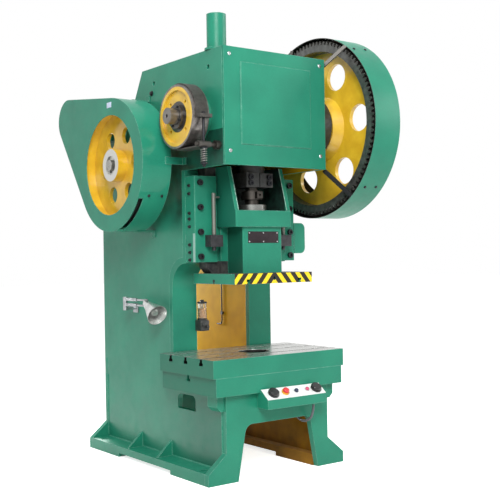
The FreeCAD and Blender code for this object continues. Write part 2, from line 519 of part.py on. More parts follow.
# ---- slide and its guides --------------------------------------------------------------
def make_slide():
    """Slide casting: striped flange, nose, hopper round the screw and two guide wings."""
    slide = Piece("slide")
    slide.pad("XY", "size.slide_bottom", "size.flange_top - size.slide_bottom", rectangle(
        "-size.slide_flange_half", "size.slide_flange_half",
        "size.slide_flange_front", "size.slide_flange_back"))
    core = "size.flange_inner - size.slide_play"
    rise = "size.slide_top - size.flange_top"
    slide.pad("XY", "size.flange_top", rise, rectangle(
        f"-({core})", core, "size.slide_core_front", "size.slide_back"))
    slide.pad("XY", "size.flange_top", "size.slide_band_bottom - size.flange_top", rectangle(
        "-size.slide_body_half", "size.slide_body_half",
        "size.slide_body_front", "size.slide_core_front"))
    slide.soften("Fillet", "size.slide_corner", either(
        at(x=size.slide_body_half, y=size.slide_body_front),
        at(x=-size.slide_body_half, y=size.slide_body_front)))
    slide.pad("XY", "size.slide_band_bottom", "size.slide_band_top - size.slide_band_bottom",
              rectangle("-size.slide_band_half", "size.slide_band_half",
                        "size.slide_band_front", "size.wing_front"))
    slide.soften("Fillet", "size.slide_corner", either(
        at(x=size.slide_band_half, y=size.slide_band_front),
        at(x=-size.slide_band_half, y=size.slide_band_front)))
    for side in (-1, 1):
        slide.pad("YZ", on_side(side, "size.slide_band_half - size.slide_side_wall",
                                "size.slide_band_half"), "size.slide_side_wall", [
            ("size.slide_band_front + size.slide_corner", "size.slide_band_top"),
            ("size.slide_slope_back", "size.slide_top"), ("size.wing_front", "size.slide_top"),
            ("size.wing_front", "size.slide_band_top")])
        slide.pad("XZ", "size.wing_front", "size.guide_face - size.guide_gap - size.wing_front", [
            (mirrored(side, "size.slide_body_half"), "size.flange_top"),
            (mirrored(side, "size.wing_half - size.wing_bevel"), "size.flange_top"),
            (mirrored(side, "size.wing_half"), "size.flange_top + size.wing_bevel"),
            (mirrored(side, "size.wing_half"), "size.slide_top"),
            (mirrored(side, "size.slide_body_half"), "size.slide_top")])
    inside = "size.slide_band_half - size.slide_side_wall"
    slide.cut("XY", "size.ball_height", "size.slide_top - size.ball_height", rectangle(
        f"-({inside})", inside, "size.slide_cavity_front", "size.slide_cavity_back"))
    socket = slide.body.newObject("PartDesign::SubtractiveSphere", "ball_socket")
    socket.setExpression("Radius", "size.ball + size.ball_gap")
    socket.setExpression("Placement.Base.y", "size.crank_back")
    socket.setExpression("Placement.Base.z", "size.ball_height")
    doc.recompute()
    slide.cut("XY", "size.slide_bottom", "size.shank_depth",
              circles=[("0", "size.crank_back", "size.shank_hole")])
    slide.cut("XZ", "size.slide_flange_front", "size.crank_back - size.slide_flange_front",
              circles=[("0", "(size.slide_bottom + size.flange_top) / 2", "size.shank_screw")])
    lip = "size.slide_bottom + size.slot_neck_depth * 0.6"
    roof = f"{lip} + size.slot_head_depth * 0.8"
    neck, head = "size.slot_neck * 0.35", "size.slot_head * 0.35"
    depth = "size.slide_flange_back - size.slide_flange_front"
    for side in ("-", ""):
        middle = f"{side}size.shank_slot_x"
        slide.cut("XZ", "size.slide_flange_front", depth, [
            (f"{middle} - {neck}", "size.slide_bottom - size.cut_margin"),
            (f"{middle} + {neck}", "size.slide_bottom - size.cut_margin"),
            (f"{middle} + {neck}", lip), (f"{middle} + {head}", lip),
            (f"{middle} + {head}", roof), (f"{middle} - {head}", roof),
            (f"{middle} - {head}", lip), (f"{middle} - {neck}", lip)])


def make_gib(name, side):
    """Guide gib: an L section that holds one wing of the slide against its flange."""
    gib = Piece(f"{name}_gib")
    lip = "size.wing_front - size.guide_gap"
    gib.pad("XY", "size.gib_bottom", "size.gib_top - size.gib_bottom", [
        (mirrored(side, "size.gib_inner"), "size.gib_front"),
        (mirrored(side, "size.half_width - size.cover_gap"), "size.gib_front"),
        (mirrored(side, "size.half_width - size.cover_gap"), "size.guide_face"),
        (mirrored(side, "size.wing_half + size.guide_gap"), "size.guide_face"),
        (mirrored(side, "size.wing_half + size.guide_gap"), lip),
        (mirrored(side, "size.gib_inner"), lip)])
    gib.cut("XZ", "size.gib_front", "size.guide_face - size.gib_front", circles=[
        (mirrored(side, "size.gib_bolt_x"), f"size.gib_bolt_low + {row} * size.gib_bolt_pitch",
         "size.gib_bolt + size.seat_gap") for row in range(4)])
    gib.soften("Chamfer", "size.cover_gap", at(
        x=side * (size.half_width - size.cover_gap), y=size.gib_front))


def socket_screw(radius, head, height, reach, base, into):
    """Socket head screw: its head on the face at 'base', its shank going 'into' the part."""
    into, base = Vector(*into), Vector(*base)
    cap = cylinder(head, height, base, -into)
    socket = cylinder(head / 2, height / 2, base - into * height, into)
    return cap.cut(socket).fuse(cylinder(radius, reach, base, into))


def make_gib_bolts():
    """Eight socket head screws that hold the gibs to the flanges."""
    reach = size.guide_face - size.gib_front + size.gib_bolt_depth
    places = [(side * size.gib_bolt_x, front + size.gib_front,
               size.gib_bolt_low + row * size.gib_bolt_pitch)
              for side in (-1, 1) for row in range(4)]
    solid("gib_bolts", Part.makeCompound([
        socket_screw(size.gib_bolt, size.gib_bolt_head, size.gib_bolt_head_height,
                     reach, place, (0, 1, 0)) for place in places]))


def make_stops():
    """Knock-out stops: a block on each gib and the screw that stands in it."""
    shapes = []
    for side in (-1, 1):
        x, y = side * size.stop_x, front + size.gib_front
        middle = y - size.stop_depth / 2
        seat = block((x - size.stop_half, y - size.stop_depth, size.stop_bottom),
                     (x + size.stop_half, y, size.stop_top))
        bore = cylinder(size.stop_rod + size.seat_gap, size.stop_top - size.stop_bottom,
                        (x, middle, size.stop_bottom), (0, 0, 1))
        rod = cylinder(size.stop_rod, size.stop_rod_top - size.stop_rod_tip,
                       (x, middle, size.stop_rod_tip), (0, 0, 1))
        peg = cylinder(size.stop_pin, size.stop_pin_reach,
                       (x, middle, size.stop_rod_top - size.stop_pin_drop), (-side, 0, 0))
        shapes += [seat.cut(bore), rod.fuse(peg)]
    solid("knockout_stops", Part.makeCompound(shapes))


# ---- crankshaft, its bearings and the connecting rod -------------------------------------
def polar(count, turn, ring, radius):
    """Circles of a sketch spread evenly round the origin, from a first angle."""
    return [(f"{ring} * cos({turn} * 1 deg + {i} * 360 deg / {count})",
             f"{ring} * sin({turn} * 1 deg + {i} * 360 deg / {count})", radius)
            for i in range(count)]


def tube(outer, inner, length, base, axis):
    return cylinder(outer, length, base, axis).cut(cylinder(inner, length, base, axis))


def make_crankshaft():
    """Crank with the pin up: journals, two webs, brake seat and the gear end."""
    crank = Piece("crankshaft", y=CRANK_Y, z="size.crank_height")
    inner = "size.rod_half + size.web_gap"
    web = f"{inner} + size.crank_web"
    crank.turn([
        ("-size.stub_end", "0"), ("-size.stub_end", "size.crank_stub"),
        ("-size.drum_left", "size.crank_stub"), ("-size.drum_left", "size.brake_seat"),
        ("-size.drum_right", "size.brake_seat"), ("-size.drum_right", "size.journal"),
        (f"-({web})", "size.journal"), (f"-({web})", "0")], "X")
    crank.pad("YZ", f"-({web})", "size.crank_web",
              circles=[("0", "size.throw / 2", "size.crank_web_round")])
    crank.pad("YZ", f"-({inner})", f"2 * ({inner})", circles=[("0", "size.throw", "size.crank_pin")])
    crank.pad("YZ", inner, "size.crank_web",
              circles=[("0", "size.throw / 2", "size.crank_web_round")])
    crank.pad("YZ", web, f"size.gear_end - ({web})", circles=[("0", "0", "size.journal")])
    crank.cut("YZ", "-size.stub_end", "size.stub_bore_depth", circles=[("0", "0", "size.stub_bore")])


def make_crank_bushes():
    """Flanged bush in each cheek for a crank journal."""
    shapes = []
    bore = size.journal + size.running_gap
    y, z = front + size.crank_back, size.crank_height
    sleeve = size.journal + size.bush_wall
    for side in (-1, 1):
        axis = (side, 0, 0)
        inside = side * (size.half_width - size.cheek_thickness)
        face = side * size.half_width
        shapes.append(tube(sleeve, bore, size.cheek_thickness, (inside, y, z), axis).fuse(
            tube(sleeve + size.bush_flange_wall, bore, size.bush_flange, (face, y, z), axis)))
    solid("crank_bushes", Part.makeCompound(shapes))


def make_connecting_rod():
    """Rod with an open big end, a round stem and the split block that grips the screw."""
    pin_z = "size.crank_height + size.throw"
    rod = Piece("connecting_rod", y=CRANK_Y, z=pin_z)
    rise = "size.crank_pin + size.rod_cheek"
    back = "size.crank_pin + size.rod_relief + size.rod_back_wall"
    rod.pad("YZ", "-size.rod_half", "2 * size.rod_half",
            rectangle("0", back, f"-({rise})", rise))
    neck = f"size.rod_neck_bottom - ({pin_z})"
    rod.pad("XY", neck, f"-({rise}) - ({neck})", rectangle(
        "-size.rod_half", "size.rod_half", "-size.rod_stem", "size.rod_stem"))
    low = f"size.rod_clamp_bottom - ({pin_z})"
    high = f"size.rod_clamp_top - ({pin_z})"
    rod.pad("XY", high, "size.rod_neck_bottom - size.rod_clamp_top",
            circles=[("0", "0", "size.rod_stem")])
    rod.pad("XY", low, "size.rod_clamp_top - size.rod_clamp_bottom", rectangle(
        "-size.rod_clamp_half", "size.rod_clamp_half",
        "-size.rod_clamp_front", "size.rod_clamp_front"))
    high_edge = "size.crank_pin + size.rod_relief_rise"
    rod.cut("YZ", "-size.rod_half", "2 * size.rod_half", rectangle(
        "0", "size.crank_pin + size.rod_relief", f"-({high_edge})", high_edge))
    rod.cut("XY", low, "size.screw_top + size.screw_room - size.rod_clamp_bottom",
            circles=[("0", "0", "size.screw + size.running_gap")])
    rod.cut("XY", low, "size.rod_clamp_top - size.rod_clamp_bottom", rectangle(
        "-size.rod_split / 2", "size.rod_split / 2", "-size.rod_clamp_front", "0"))
    hole = "size.rod_bolt + size.seat_gap"
    middle = f"({low}) / 2 + ({high}) / 2"
    rod.cut("XZ", "-size.rod_clamp_front", "size.clamp_bolt_depth + size.seat_gap", circles=[
        (across, f"{middle} {up} size.clamp_bolt_pitch / 2", hole)
        for across in ("size.clamp_bolt_x", "-size.clamp_bolt_x") for up in "-+"])
    rod.cut("XZ", "0", "size.cap_bolt_depth - size.rod_front + size.seat_gap", circles=[
        (across, up, hole) for across in ("size.cap_bolt_x", "-size.cap_bolt_x")
        for up in ("size.cap_bolt_z", "-size.cap_bolt_z")])


def make_rod_cap():
    """Front half of the big end, eased near the joint for the pin's sideways travel."""
    cap = Piece("rod_cap", y=CRANK_Y, z="size.crank_height + size.throw")
    rise = "size.crank_pin + size.rod_cheek"
    cap.pad("YZ", "-size.rod_half", "2 * size.rod_half",
            rectangle("-size.rod_front", "0", f"-({rise})", rise))
    cap.cut("YZ", "-size.rod_half", "2 * size.rod_half",
            circles=[("0", "0", "size.crank_pin + size.running_gap")])
    ease = "size.crank_pin + size.cap_relief_rise"
    cap.cut("YZ", "-size.rod_half", "2 * size.rod_half",
            rectangle("-size.cap_relief", "0", f"-({ease})", ease))
    cap.cut("XZ", "-size.rod_front", "size.rod_front", circles=[
        (across, up, "size.rod_bolt + size.seat_gap")
        for across in ("size.cap_bolt_x", "-size.cap_bolt_x")
        for up in ("size.cap_bolt_z", "-size.cap_bolt_z")])


def make_rod_bolts():
    """Clamp screws of the split block and cap screws of the big end."""
    y, pin_z = front + size.crank_back, size.crank_height + size.throw
    middle = (size.rod_clamp_bottom + size.rod_clamp_top) / 2
    shapes = []
    for across in (-1, 1):
        for up in (-1, 1):
            shapes.append(socket_screw(
                size.rod_bolt, size.rod_bolt_head, size.rod_bolt_head_height,
                size.clamp_bolt_depth, (across * size.clamp_bolt_x, y - size.rod_clamp_front,
                                        middle + up * size.clamp_bolt_pitch / 2), (0, 1, 0)))
            shapes.append(socket_screw(
                size.rod_bolt, size.rod_bolt_head, size.rod_bolt_head_height,
                size.cap_bolt_depth, (across * size.cap_bolt_x, y - size.rod_front,
                                      pin_z + up * size.cap_bolt_z), (0, 1, 0)))
    solid("rod_bolts", Part.makeCompound(shapes))


def make_adjusting_screw():
    """Die height screw: thread, collar with its bar boss, neck and ball."""
    screw = Piece("adjusting_screw", y=CRANK_Y)
    screw.turn([
        ("size.ball_height", "0"), ("size.ball_height", "size.screw_neck"),
        ("size.collar_bottom", "size.screw_neck"), ("size.collar_bottom", "size.screw_collar"),
        ("size.collar_top", "size.screw_collar"), ("size.collar_top", "size.screw"),
        ("size.screw_top", "size.screw"), ("size.screw_top", "0")], "Z")
    middle = "(size.collar_bottom + size.collar_top) / 2"
    screw.pad("XZ", "-size.boss_reach", "size.boss_reach", rectangle(
        "-size.boss_half", "size.boss_half",
        f"{middle} - size.boss_half", f"{middle} + size.boss_half"))
    screw.cut("XZ", "-size.boss_reach", "size.boss_hole_depth",
              circles=[("0", middle, "size.boss_hole")])
    ball = screw.body.newObject("PartDesign::AdditiveSphere", "ball")
    ball.setExpression("Radius", "size.ball")
    ball.setExpression("Placement.Base.z", "size.ball_height")
    doc.recompute()


def make_ball_retainer():
    """Ring that holds the ball down in the slide."""
    ring = Piece("ball_retainer", y=CRANK_Y)
    ring.pad("XY", "size.ball_height", "size.ring_top - size.ball_height",
             circles=[("0", "0", "size.ring")])
    socket = ring.body.newObject("PartDesign::SubtractiveSphere", "ring_socket")
    socket.setExpression("Radius", "size.ball + size.ball_gap")
    socket.setExpression("Placement.Base.z", "size.ball_height")
    doc.recompute()
    ring.cut("XY", "size.ball_height", "size.ring_top - size.ball_height",
             circles=[("0", "0", "size.ring_bore")])


def make_shank_screw():
    """Grub screw that locks a die shank in the slide, set just below the front face."""
    screw = Piece("shank_screw", z="(size.slide_bottom + size.flange_top) / 2")
    start = "size.slide_flange_front + size.shank_screw_inset"
    screw.pad("XZ", start, f"size.crank_back - size.shank_hole - ({start}) - size.shank_screw_inset",
              circles=[("0", "0", "size.shank_screw - size.seat_gap")])
    screw.cut("XZ", start, "size.shank_screw", circles=[("0", "0", "size.shank_screw_socket")])


# ---- gear train ------------------------------------------------------------------------
def tooth_outline(teeth, turn, steps):
    """Involute tooth outline in the YZ plane, one tooth centred on the angle 'turn'."""
    module, pressure = size.gear_module, math.radians(20)
    pitch = module * teeth / 2
    base = pitch * math.cos(pressure)
    root, tip = pitch - 1.25 * module, pitch + module
    half = math.pi / (2 * teeth) - size.backlash / (4 * pitch)
    at_pitch = math.tan(pressure) - pressure
    flank = []
    for i in range(steps + 1):
        radius = root + (tip - root) * i / steps
        roll = math.acos(min(1, base / radius))
        flank.append((radius, half + at_pitch - (math.tan(roll) - roll)))
    points = []
    for k in range(teeth):
        middle = turn + 2 * math.pi * k / teeth
        spots = [(r, middle - w) for r, w in flank] + [(r, middle + w) for r, w in reversed(flank)]
        points += [(r * math.cos(a), r * math.sin(a)) for r, a in spots]
    return points


def toothed(teeth, turn, steps, left, face, centre):
    y, z = centre
    ring = [Vector(left, y + a, z + b) for a, b in tooth_outline(teeth, turn, steps)]
    return Part.Face(Part.makePolygon(ring + ring[:1])).extrude(Vector(face, 0, 0))


def round_bars(count, turn, ring, radius, left, length, centre):
    """Cylinders along X spread evenly round a centre, for cutting holes."""
    bars = []
    for i in range(count):
        angle = math.radians(turn + 360 * i / count)
        spot = (left, centre[0] + ring * math.cos(angle), centre[1] + ring * math.sin(angle))
        bars.append(cylinder(radius, length, spot, (1, 0, 0)))
    return fused(bars)


def mesh_angle():
    """Direction from the crank to the drive shaft, as an angle from +Y towards +Z."""
    return math.atan2(shaft_height - size.crank_height, shaft_run)


def make_main_gear():
    """Bull gear on the crank end: toothed rim, web with six holes and a conical boss."""
    y, z = front + size.crank_back, size.crank_height
    left, axis = size.gear_left, (1, 0, 0)
    web = left + size.gear_web_set
    gear = toothed(int(size.gear_teeth), mesh_angle(), 2, left, size.gear_face, (y, z))
    gear = gear.cut(cylinder(size.gear_rim, size.gear_face, (left, y, z), axis))
    disc = cylinder(size.gear_rim, size.gear_web, (web, y, z), axis)
    boss = Part.makeCone(size.gear_boss_end, size.gear_boss, web - size.gear_boss_left,
                         Vector(size.gear_boss_left, y, z), Vector(*axis))
    hub = cylinder(size.gear_hub, size.gear_hub_right - web, (web, y, z), axis)
    gear = gear.multiFuse([disc, boss, hub])
    holes = round_bars(int(size.gear_hole_count), size.gear_hole_turn, size.gear_hole_ring,
                       size.gear_hole, web, size.gear_web, (y, z))
    bore = cylinder(size.journal + size.running_gap, size.gear_hub_right - size.gear_boss_left,
                    (size.gear_boss_left, y, z), axis)
    solid("main_gear", gear.cut(holes).cut(bore))


def make_pinion():
    """Pinion on the drive shaft, a little wider than the gear it drives."""
    y, z = front + size.shaft_back, shaft_height
    left = size.gear_left - size.pinion_extra
    face = size.gear_face + 2 * size.pinion_extra
    turn = mesh_angle() + math.pi + math.pi / size.pinion_teeth
    pinion = toothed(int(size.pinion_teeth), turn, 4, left, face, (y, z))
    solid("pinion", pinion.cut(cylinder(size.drive_shaft, face, (left, y, z), (1, 0, 0))))


def make_drive_shaft():
    """Back shaft that carries the flywheel and the pinion."""
    shaft = Piece("drive_shaft", y=SHAFT_Y, z=SHAFT_Z)
    shaft.turn([
        ("-size.shaft_left", "0"), ("-size.shaft_left", "size.drive_shaft"),
        ("-size.shoulder_end", "size.drive_shaft"), ("-size.shoulder_end", "size.shaft_shoulder"),
        ("size.shoulder_end", "size.shaft_shoulder"), ("size.shoulder_end", "size.drive_shaft"),
        ("size.shaft_right", "size.drive_shaft"), ("size.shaft_right", "0")], "X")
    shaft.soften("Chamfer", "size.shaft_chamfer", lambda edge: len(edge.Vertexes) == 1 and
                 abs(abs(edge.Vertexes[0].X) - size.shaft_right) < 60)


def make_shaft_bearings():
    """Flanged bearing housing in each cheek for the drive shaft."""
    shapes = []
    y, z = front + size.shaft_back, shaft_height
    bore = size.drive_shaft + size.running_gap
    for side in (-1, 1):
        axis = (side, 0, 0)
        inside = side * (size.half_width - size.cheek_thickness - size.bearing_inside)
        face = side * size.half_width
        shapes.append(tube(size.bearing_boss, bore, size.cheek_thickness + size.bearing_inside,
                           (inside, y, z), axis).fuse(
            tube(size.bearing, bore, size.bearing_plate, (face, y, z), axis)))
    solid("shaft_bearings", Part.makeCompound(shapes))


def make_clutch_housing():
    """Fixed drum round the crank end that shields the clutch."""
    clutch = Piece("clutch_housing", y=CRANK_Y, z="size.crank_height")
    clutch.pad("YZ", "size.half_width", "size.clutch_right - size.half_width",
               circles=[("0", "0", "size.clutch")])
    clutch.cut("YZ", "size.half_width", "size.clutch_right - size.half_width - size.clutch_wall",
               circles=[("0", "0", "size.clutch_inner")])
    clutch.cut("YZ", "size.half_width", "size.clutch_right - size.half_width",
               circles=[("0", "0", "size.clutch_bore")])


def groove_steps(radius):
    """Rim profile of a belt wheel from left to right, with its V grooves."""
    middle = "(-size.flywheel_left + size.flywheel_face / 2)"
    points = []
    for i in range(int(size.belt_count)):
        place = f"{middle} + {i - (size.belt_count - 1) / 2} * size.groove_pitch"
        points += [(f"{place} - size.groove", radius),
                   (f"{place} - size.groove / 2", f"{radius} - size.groove_depth"),
                   (f"{place} + size.groove / 2", f"{radius} - size.groove_depth"),
                   (f"{place} + size.groove", radius)]
    return points


def make_flywheel():
    """Belt wheel: grooved rim, web with six holes and a hub with a turned recess."""
    wheel = Piece("flywheel", y=SHAFT_Y, z=SHAFT_Z)
    left = "-size.flywheel_left"
    right = f"{left} + size.flywheel_face"
    web_left = f"{left} + size.flywheel_web_set"
    web_right = f"{web_left} + size.flywheel_web"
    hub_left = "-size.flywheel_hub_left"
    recess = f"{hub_left} + size.flywheel_recess_depth"
    wheel.turn([
        (recess, "size.drive_shaft"), (recess, "size.flywheel_hub_recess"),
        (hub_left, "size.flywheel_hub_recess"), (hub_left, "size.flywheel_hub"),
        (web_left, "size.flywheel_hub"), (web_left, "size.flywheel_rim"),
        (left, "size.flywheel_rim"), (left, "size.flywheel"),
        *groove_steps("size.flywheel"), (right, "size.flywheel"),
        (right, "size.flywheel_rim"), (web_right, "size.flywheel_rim"),
        (web_right, "size.flywheel_hub"), (right, "size.flywheel_hub"),
        (right, "size.drive_shaft")], "X")
    wheel.cut("YZ", web_left, "size.flywheel_web", circles=polar(
        int(size.flywheel_hole_count), "size.flywheel_hole_turn", "size.flywheel_hole_ring",
        "size.flywheel_hole"))


def make_motor_pulley():
    """Motor rotor: grooved pulley in line with the flywheel, and its shaft."""
    pulley = Piece("motor_pulley", y="size.motor_back - size.base_depth / 2",
                   z="size.motor_height")
    left = "-size.flywheel_left"
    right = f"{left} + size.flywheel_face"
    pulley.turn([
        (left, "0"), (left, "size.pulley"), *groove_steps("size.pulley"),
        (right, "size.pulley"), (right, "size.motor_shaft"),
        ("-size.motor_left + size.motor_shaft", "size.motor_shaft"),
        ("-size.motor_left + size.motor_shaft", "0")], "X")


def make_motor():
    """Electric motor: body, end covers, feet and terminal box."""
    motor = Piece("motor", y="size.motor_back - size.base_depth / 2", z="size.motor_height")
    length = "size.motor_left + size.motor_right"
    foot = f"{MOTOR_SEAT} - size.motor_height"
    motor.pad("YZ", "-size.motor_left + size.motor_cover_length",
              f"{length} - 2 * size.motor_cover_length", circles=[("0", "0", "size.motor_round")])
    motor.pad("YZ", "-size.motor_left", length, circles=[("0", "0", "size.motor_cover")])
    for start in ("-size.motor_left + 2 * size.motor_foot_width",
                  "size.motor_right - 3 * size.motor_foot_width"):
        motor.pad("YZ", start, "size.motor_foot_width", [
            ("-size.motor_foot_half", foot), ("size.motor_foot_half", foot),
            ("size.motor_foot_half", f"{foot} + size.tab_plate * 2"),
            ("size.motor_cover", "-size.motor_foot_width"),
            ("-size.motor_cover", "-size.motor_foot_width"),
            ("-size.motor_foot_half", f"{foot} + size.tab_plate * 2")])
    motor.pad("XY", "0", "size.motor_round + size.terminal_rise", rectangle(
        "-size.terminal_set - size.terminal_half", "-size.terminal_set + size.terminal_half",
        "-size.terminal_half", "size.terminal_half"))
    motor.cut("YZ", "-size.motor_left", "size.motor_shaft + size.seat_gap",
              circles=[("0", "0", "size.motor_shaft + size.running_gap")])


def slope_y(height):
    """Y of the sloping back at a height, from the front leg plate."""
    return f"size.base_depth - (({height}) - size.slope_bottom) * {SLOPE}"


def make_motor_bracket():
    """Shelf on the sloping back with two gussets, for the motor."""
    bracket = Piece("motor_bracket")
    top = MOTOR_SEAT
    low = f"{top} - size.bracket_plate"
    end = f"{slope_y(top)} + size.bracket_depth"
    bracket.pad("YZ", "-size.bracket_left", "size.bracket_left + size.bracket_right", [
        (slope_y(top), top), (slope_y(low), low), (end, low), (end, top)])
    foot = f"{low} - size.bracket_drop"
    for start in ("-size.bracket_left", "size.bracket_right - size.gusset"):
        bracket.pad("YZ", start, "size.gusset", [
            (slope_y(low), low), (slope_y(foot), foot), (f"{end} - size.tab_plate", low)])


def hoop(centre, big, small_centre, small):
    """Closed outline of a belt round two circles, in the YZ plane at X = 0."""
    run = math.hypot(small_centre[0] - centre[0], small_centre[1] - centre[1])
    lean = math.atan2(small_centre[1] - centre[1], small_centre[0] - centre[0])
    spread = math.acos((big - small) / run)

    def spot(middle, radius, angle):
        return Vector(0, middle[0] + radius * math.cos(angle), middle[1] + radius * math.sin(angle))

    high, low = lean + spread, lean - spread
    outer = Part.Arc(spot(centre, big, high), spot(centre, big, lean + math.pi),
                     spot(centre, big, low))
    inner = Part.Arc(spot(small_centre, small, low), spot(small_centre, small, lean),
                     spot(small_centre, small, high))
    return Part.Face(Part.Wire([
        outer.toShape(),
        Part.makeLine(spot(centre, big, low), spot(small_centre, small, low)),
        inner.toShape(),
        Part.makeLine(spot(small_centre, small, high), spot(centre, big, high))]))


def hoop_solid(centre, big, small_centre, small, left, right):
    face = hoop(centre, big, small_centre, small)
    face.translate(Vector(left, 0, 0))
    return face.extrude(Vector(right - left, 0, 0))


def make_drive_belts():
    """Four V belts that lie in the grooves of the flywheel and the motor pulley."""
    wheel = (front + size.shaft_back, shaft_height)
    pulley = (front + size.motor_back, size.motor_height)
    shapes = []
    for i in range(int(size.belt_count)):
        middle = (-size.flywheel_left + size.flywheel_face / 2
                  + (i - (size.belt_count - 1) / 2) * size.groove_pitch)
        half = size.groove / 2
        rings = []
        for rise in (size.belt_proud, size.belt_gap - size.groove_depth):
            rings.append(hoop_solid(wheel, size.flywheel + rise, pulley, size.pulley + rise,
                                    middle - half, middle + half))
        shapes.append(rings[0].cut(rings[1]))
    solid("drive_belts", Part.makeCompound(shapes))


# ---- guards ----------------------------------------------------------------------------
def make_belt_guard():
    """Sheet guard round the flywheel and belts, with a round opening and three feet."""
    wheel = (front + size.shaft_back, shaft_height)
    pulley = (front + size.motor_back, size.motor_height)
    left, right, sheet_wall = -size.belt_guard_left, -size.belt_guard_right, size.sheet_steel
    guard = hoop_solid(wheel, size.belt_guard, pulley, size.belt_guard_small, left, right)
    guard = guard.cut(hoop_solid(wheel, size.belt_guard - sheet_wall, pulley,
                                 size.belt_guard_small - sheet_wall, left + sheet_wall, right))
    guard = guard.cut(cylinder(size.belt_guard_hole, sheet_wall, (left, *wheel), (1, 0, 0)))
    slot = left + size.guard_slot_set
    guard = guard.cut(ring_sector(
        size.belt_guard - 2 * sheet_wall, size.belt_guard + sheet_wall, slot, slot + size.guard_slot,
        wheel, size.guard_slot_start, size.guard_slot_sweep))
    feet = [belt_tab(wheel, math.radians(angle)) for angle in (92, 180, 262)]
    solid("belt_guard", guard.multiFuse(feet))


def belt_tab(centre, angle):
    """Angle bracket from the guard's wall to the cheek, laid out at the top and turned."""
    half, plate = size.belt_tab / 2, size.tab_plate
    rise = centre[1] + size.belt_guard
    arm = block((-size.belt_guard_right - size.belt_tab, centre[0] - half, rise - plate / 4),
                (-size.half_width, centre[0] + half, rise + plate * 3 / 4))
    foot = block((-size.half_width - plate, centre[0] - half, rise),
                 (-size.half_width, centre[0] + half, rise + size.belt_tab_foot))
    tab = arm.fuse(foot)
    tab.rotate(Vector(0, *centre), Vector(1, 0, 0), math.degrees(angle) - 90)
    return tab


def make_gear_guard():
    """Sheet guard over the rim of the main gear and round the pinion, open in the middle."""
    gear = (front + size.crank_back, size.crank_height)
    shaft = (front + size.shaft_back, shaft_height)
    left, right, sheet_wall = size.gear_guard_left, size.gear_guard_right, size.sheet_steel
    guard = hoop_solid(gear, size.gear_guard, shaft, size.gear_guard_small, left, right)
    guard = guard.cut(hoop_solid(gear, size.gear_guard - sheet_wall, shaft,
                                 size.gear_guard_small - sheet_wall, left, right - sheet_wall))
    opening = cylinder(size.gear_guard_hole, sheet_wall, (right - sheet_wall, *gear), (1, 0, 0))
    solid("gear_guard", guard.cut(opening))


def flat_bar(start, end, width, plate):
    """Flat bar from the plane X = start.x to X = end.x, its ends cut flush with both."""
    start, end = Vector(*start), Vector(*end)
    run = end - start
    broad = Vector(0, -run.z, run.y).normalize() * (width / 2)
    low, high = start - run * 0.2, end + run * 0.2
    corners = [low + broad, low - broad, high - broad, high + broad]
    face = Part.Face(Part.makePolygon(corners + corners[:1]))
    bar = face.extrude(run.cross(broad).normalize() * plate)
    box = bar.BoundBox
    return bar.common(block((start.x, box.YMin, box.ZMin), (end.x, box.YMax, box.ZMax)))


def make_guard_stays():
    """Flat bars from the right cheek out to the rim of the gear guard."""
    middle = (front + size.crank_back, size.crank_height)
    shapes = []
    for y, z, angle in ((size.stay_high_y, size.stay_high, size.stay_high_angle),
                        (size.stay_low_y, size.stay_low, size.stay_low_angle),
                        (size.stay_back_y, size.stay_back_z, size.stay_back_angle)):
        angle = math.radians(angle)
        end = (size.gear_guard_left, middle[0] + size.gear_guard * math.cos(angle),
               middle[1] + size.gear_guard * math.sin(angle))
        shapes.append(flat_bar((size.half_width, front + y, z), end,
                               size.stay_width, size.stay_plate))
    solid("guard_stays", Part.makeCompound(shapes))


# ---- band brake ------------------------------------------------------------------------
def make_brake_drum():
    """Brake drum on the crank's left end: rim, recessed disc and hub."""
    drum = Piece("brake_drum", y=CRANK_Y, z="size.crank_height")
    left, right = "-size.drum_left", "-size.drum_right"
    disc = f"{left} + size.drum_recess"
    drum.turn([
        ("-size.drum_hub_left", "size.brake_seat"), ("-size.drum_hub_left", "size.drum_hub"),
        (disc, "size.drum_hub"), (disc, "size.drum_rim"), (left, "size.drum_rim"),
        (left, "size.drum"), (right, "size.drum"), (right, "size.drum_rim"),
        (f"{disc} + size.drum_web", "size.drum_rim"), (f"{disc} + size.drum_web", "size.drum_hub"),
        (right, "size.drum_hub"), (right, "size.brake_seat")], "X")
    drum.cut("YZ", left, "size.drum_web + size.drum_recess",
             circles=polar(4, "45", "size.drum_hole_ring", "size.drum_hole"))


def ring_sector(inner, outer, left, right, centre, start, sweep):
    """Part of a ring along X, from an angle round by a sweep, both in degrees."""
    def spot(radius, angle):
        angle = math.radians(angle)
        return Vector(left, centre[0] + radius * math.cos(angle),
                      centre[1] + radius * math.sin(angle))
    arcs = [Part.Arc(spot(radius, start), spot(radius, start + sweep / 2),
                     spot(radius, start + sweep)).toShape() for radius in (inner, outer)]
    ends = [Part.makeLine(spot(inner, angle), spot(outer, angle))
            for angle in (start, start + sweep)]
    wire = Part.Wire(Part.sortEdges([arcs[0], ends[1], arcs[1], ends[0]])[0])
    return Part.Face(wire).extrude(Vector(right - left, 0, 0))


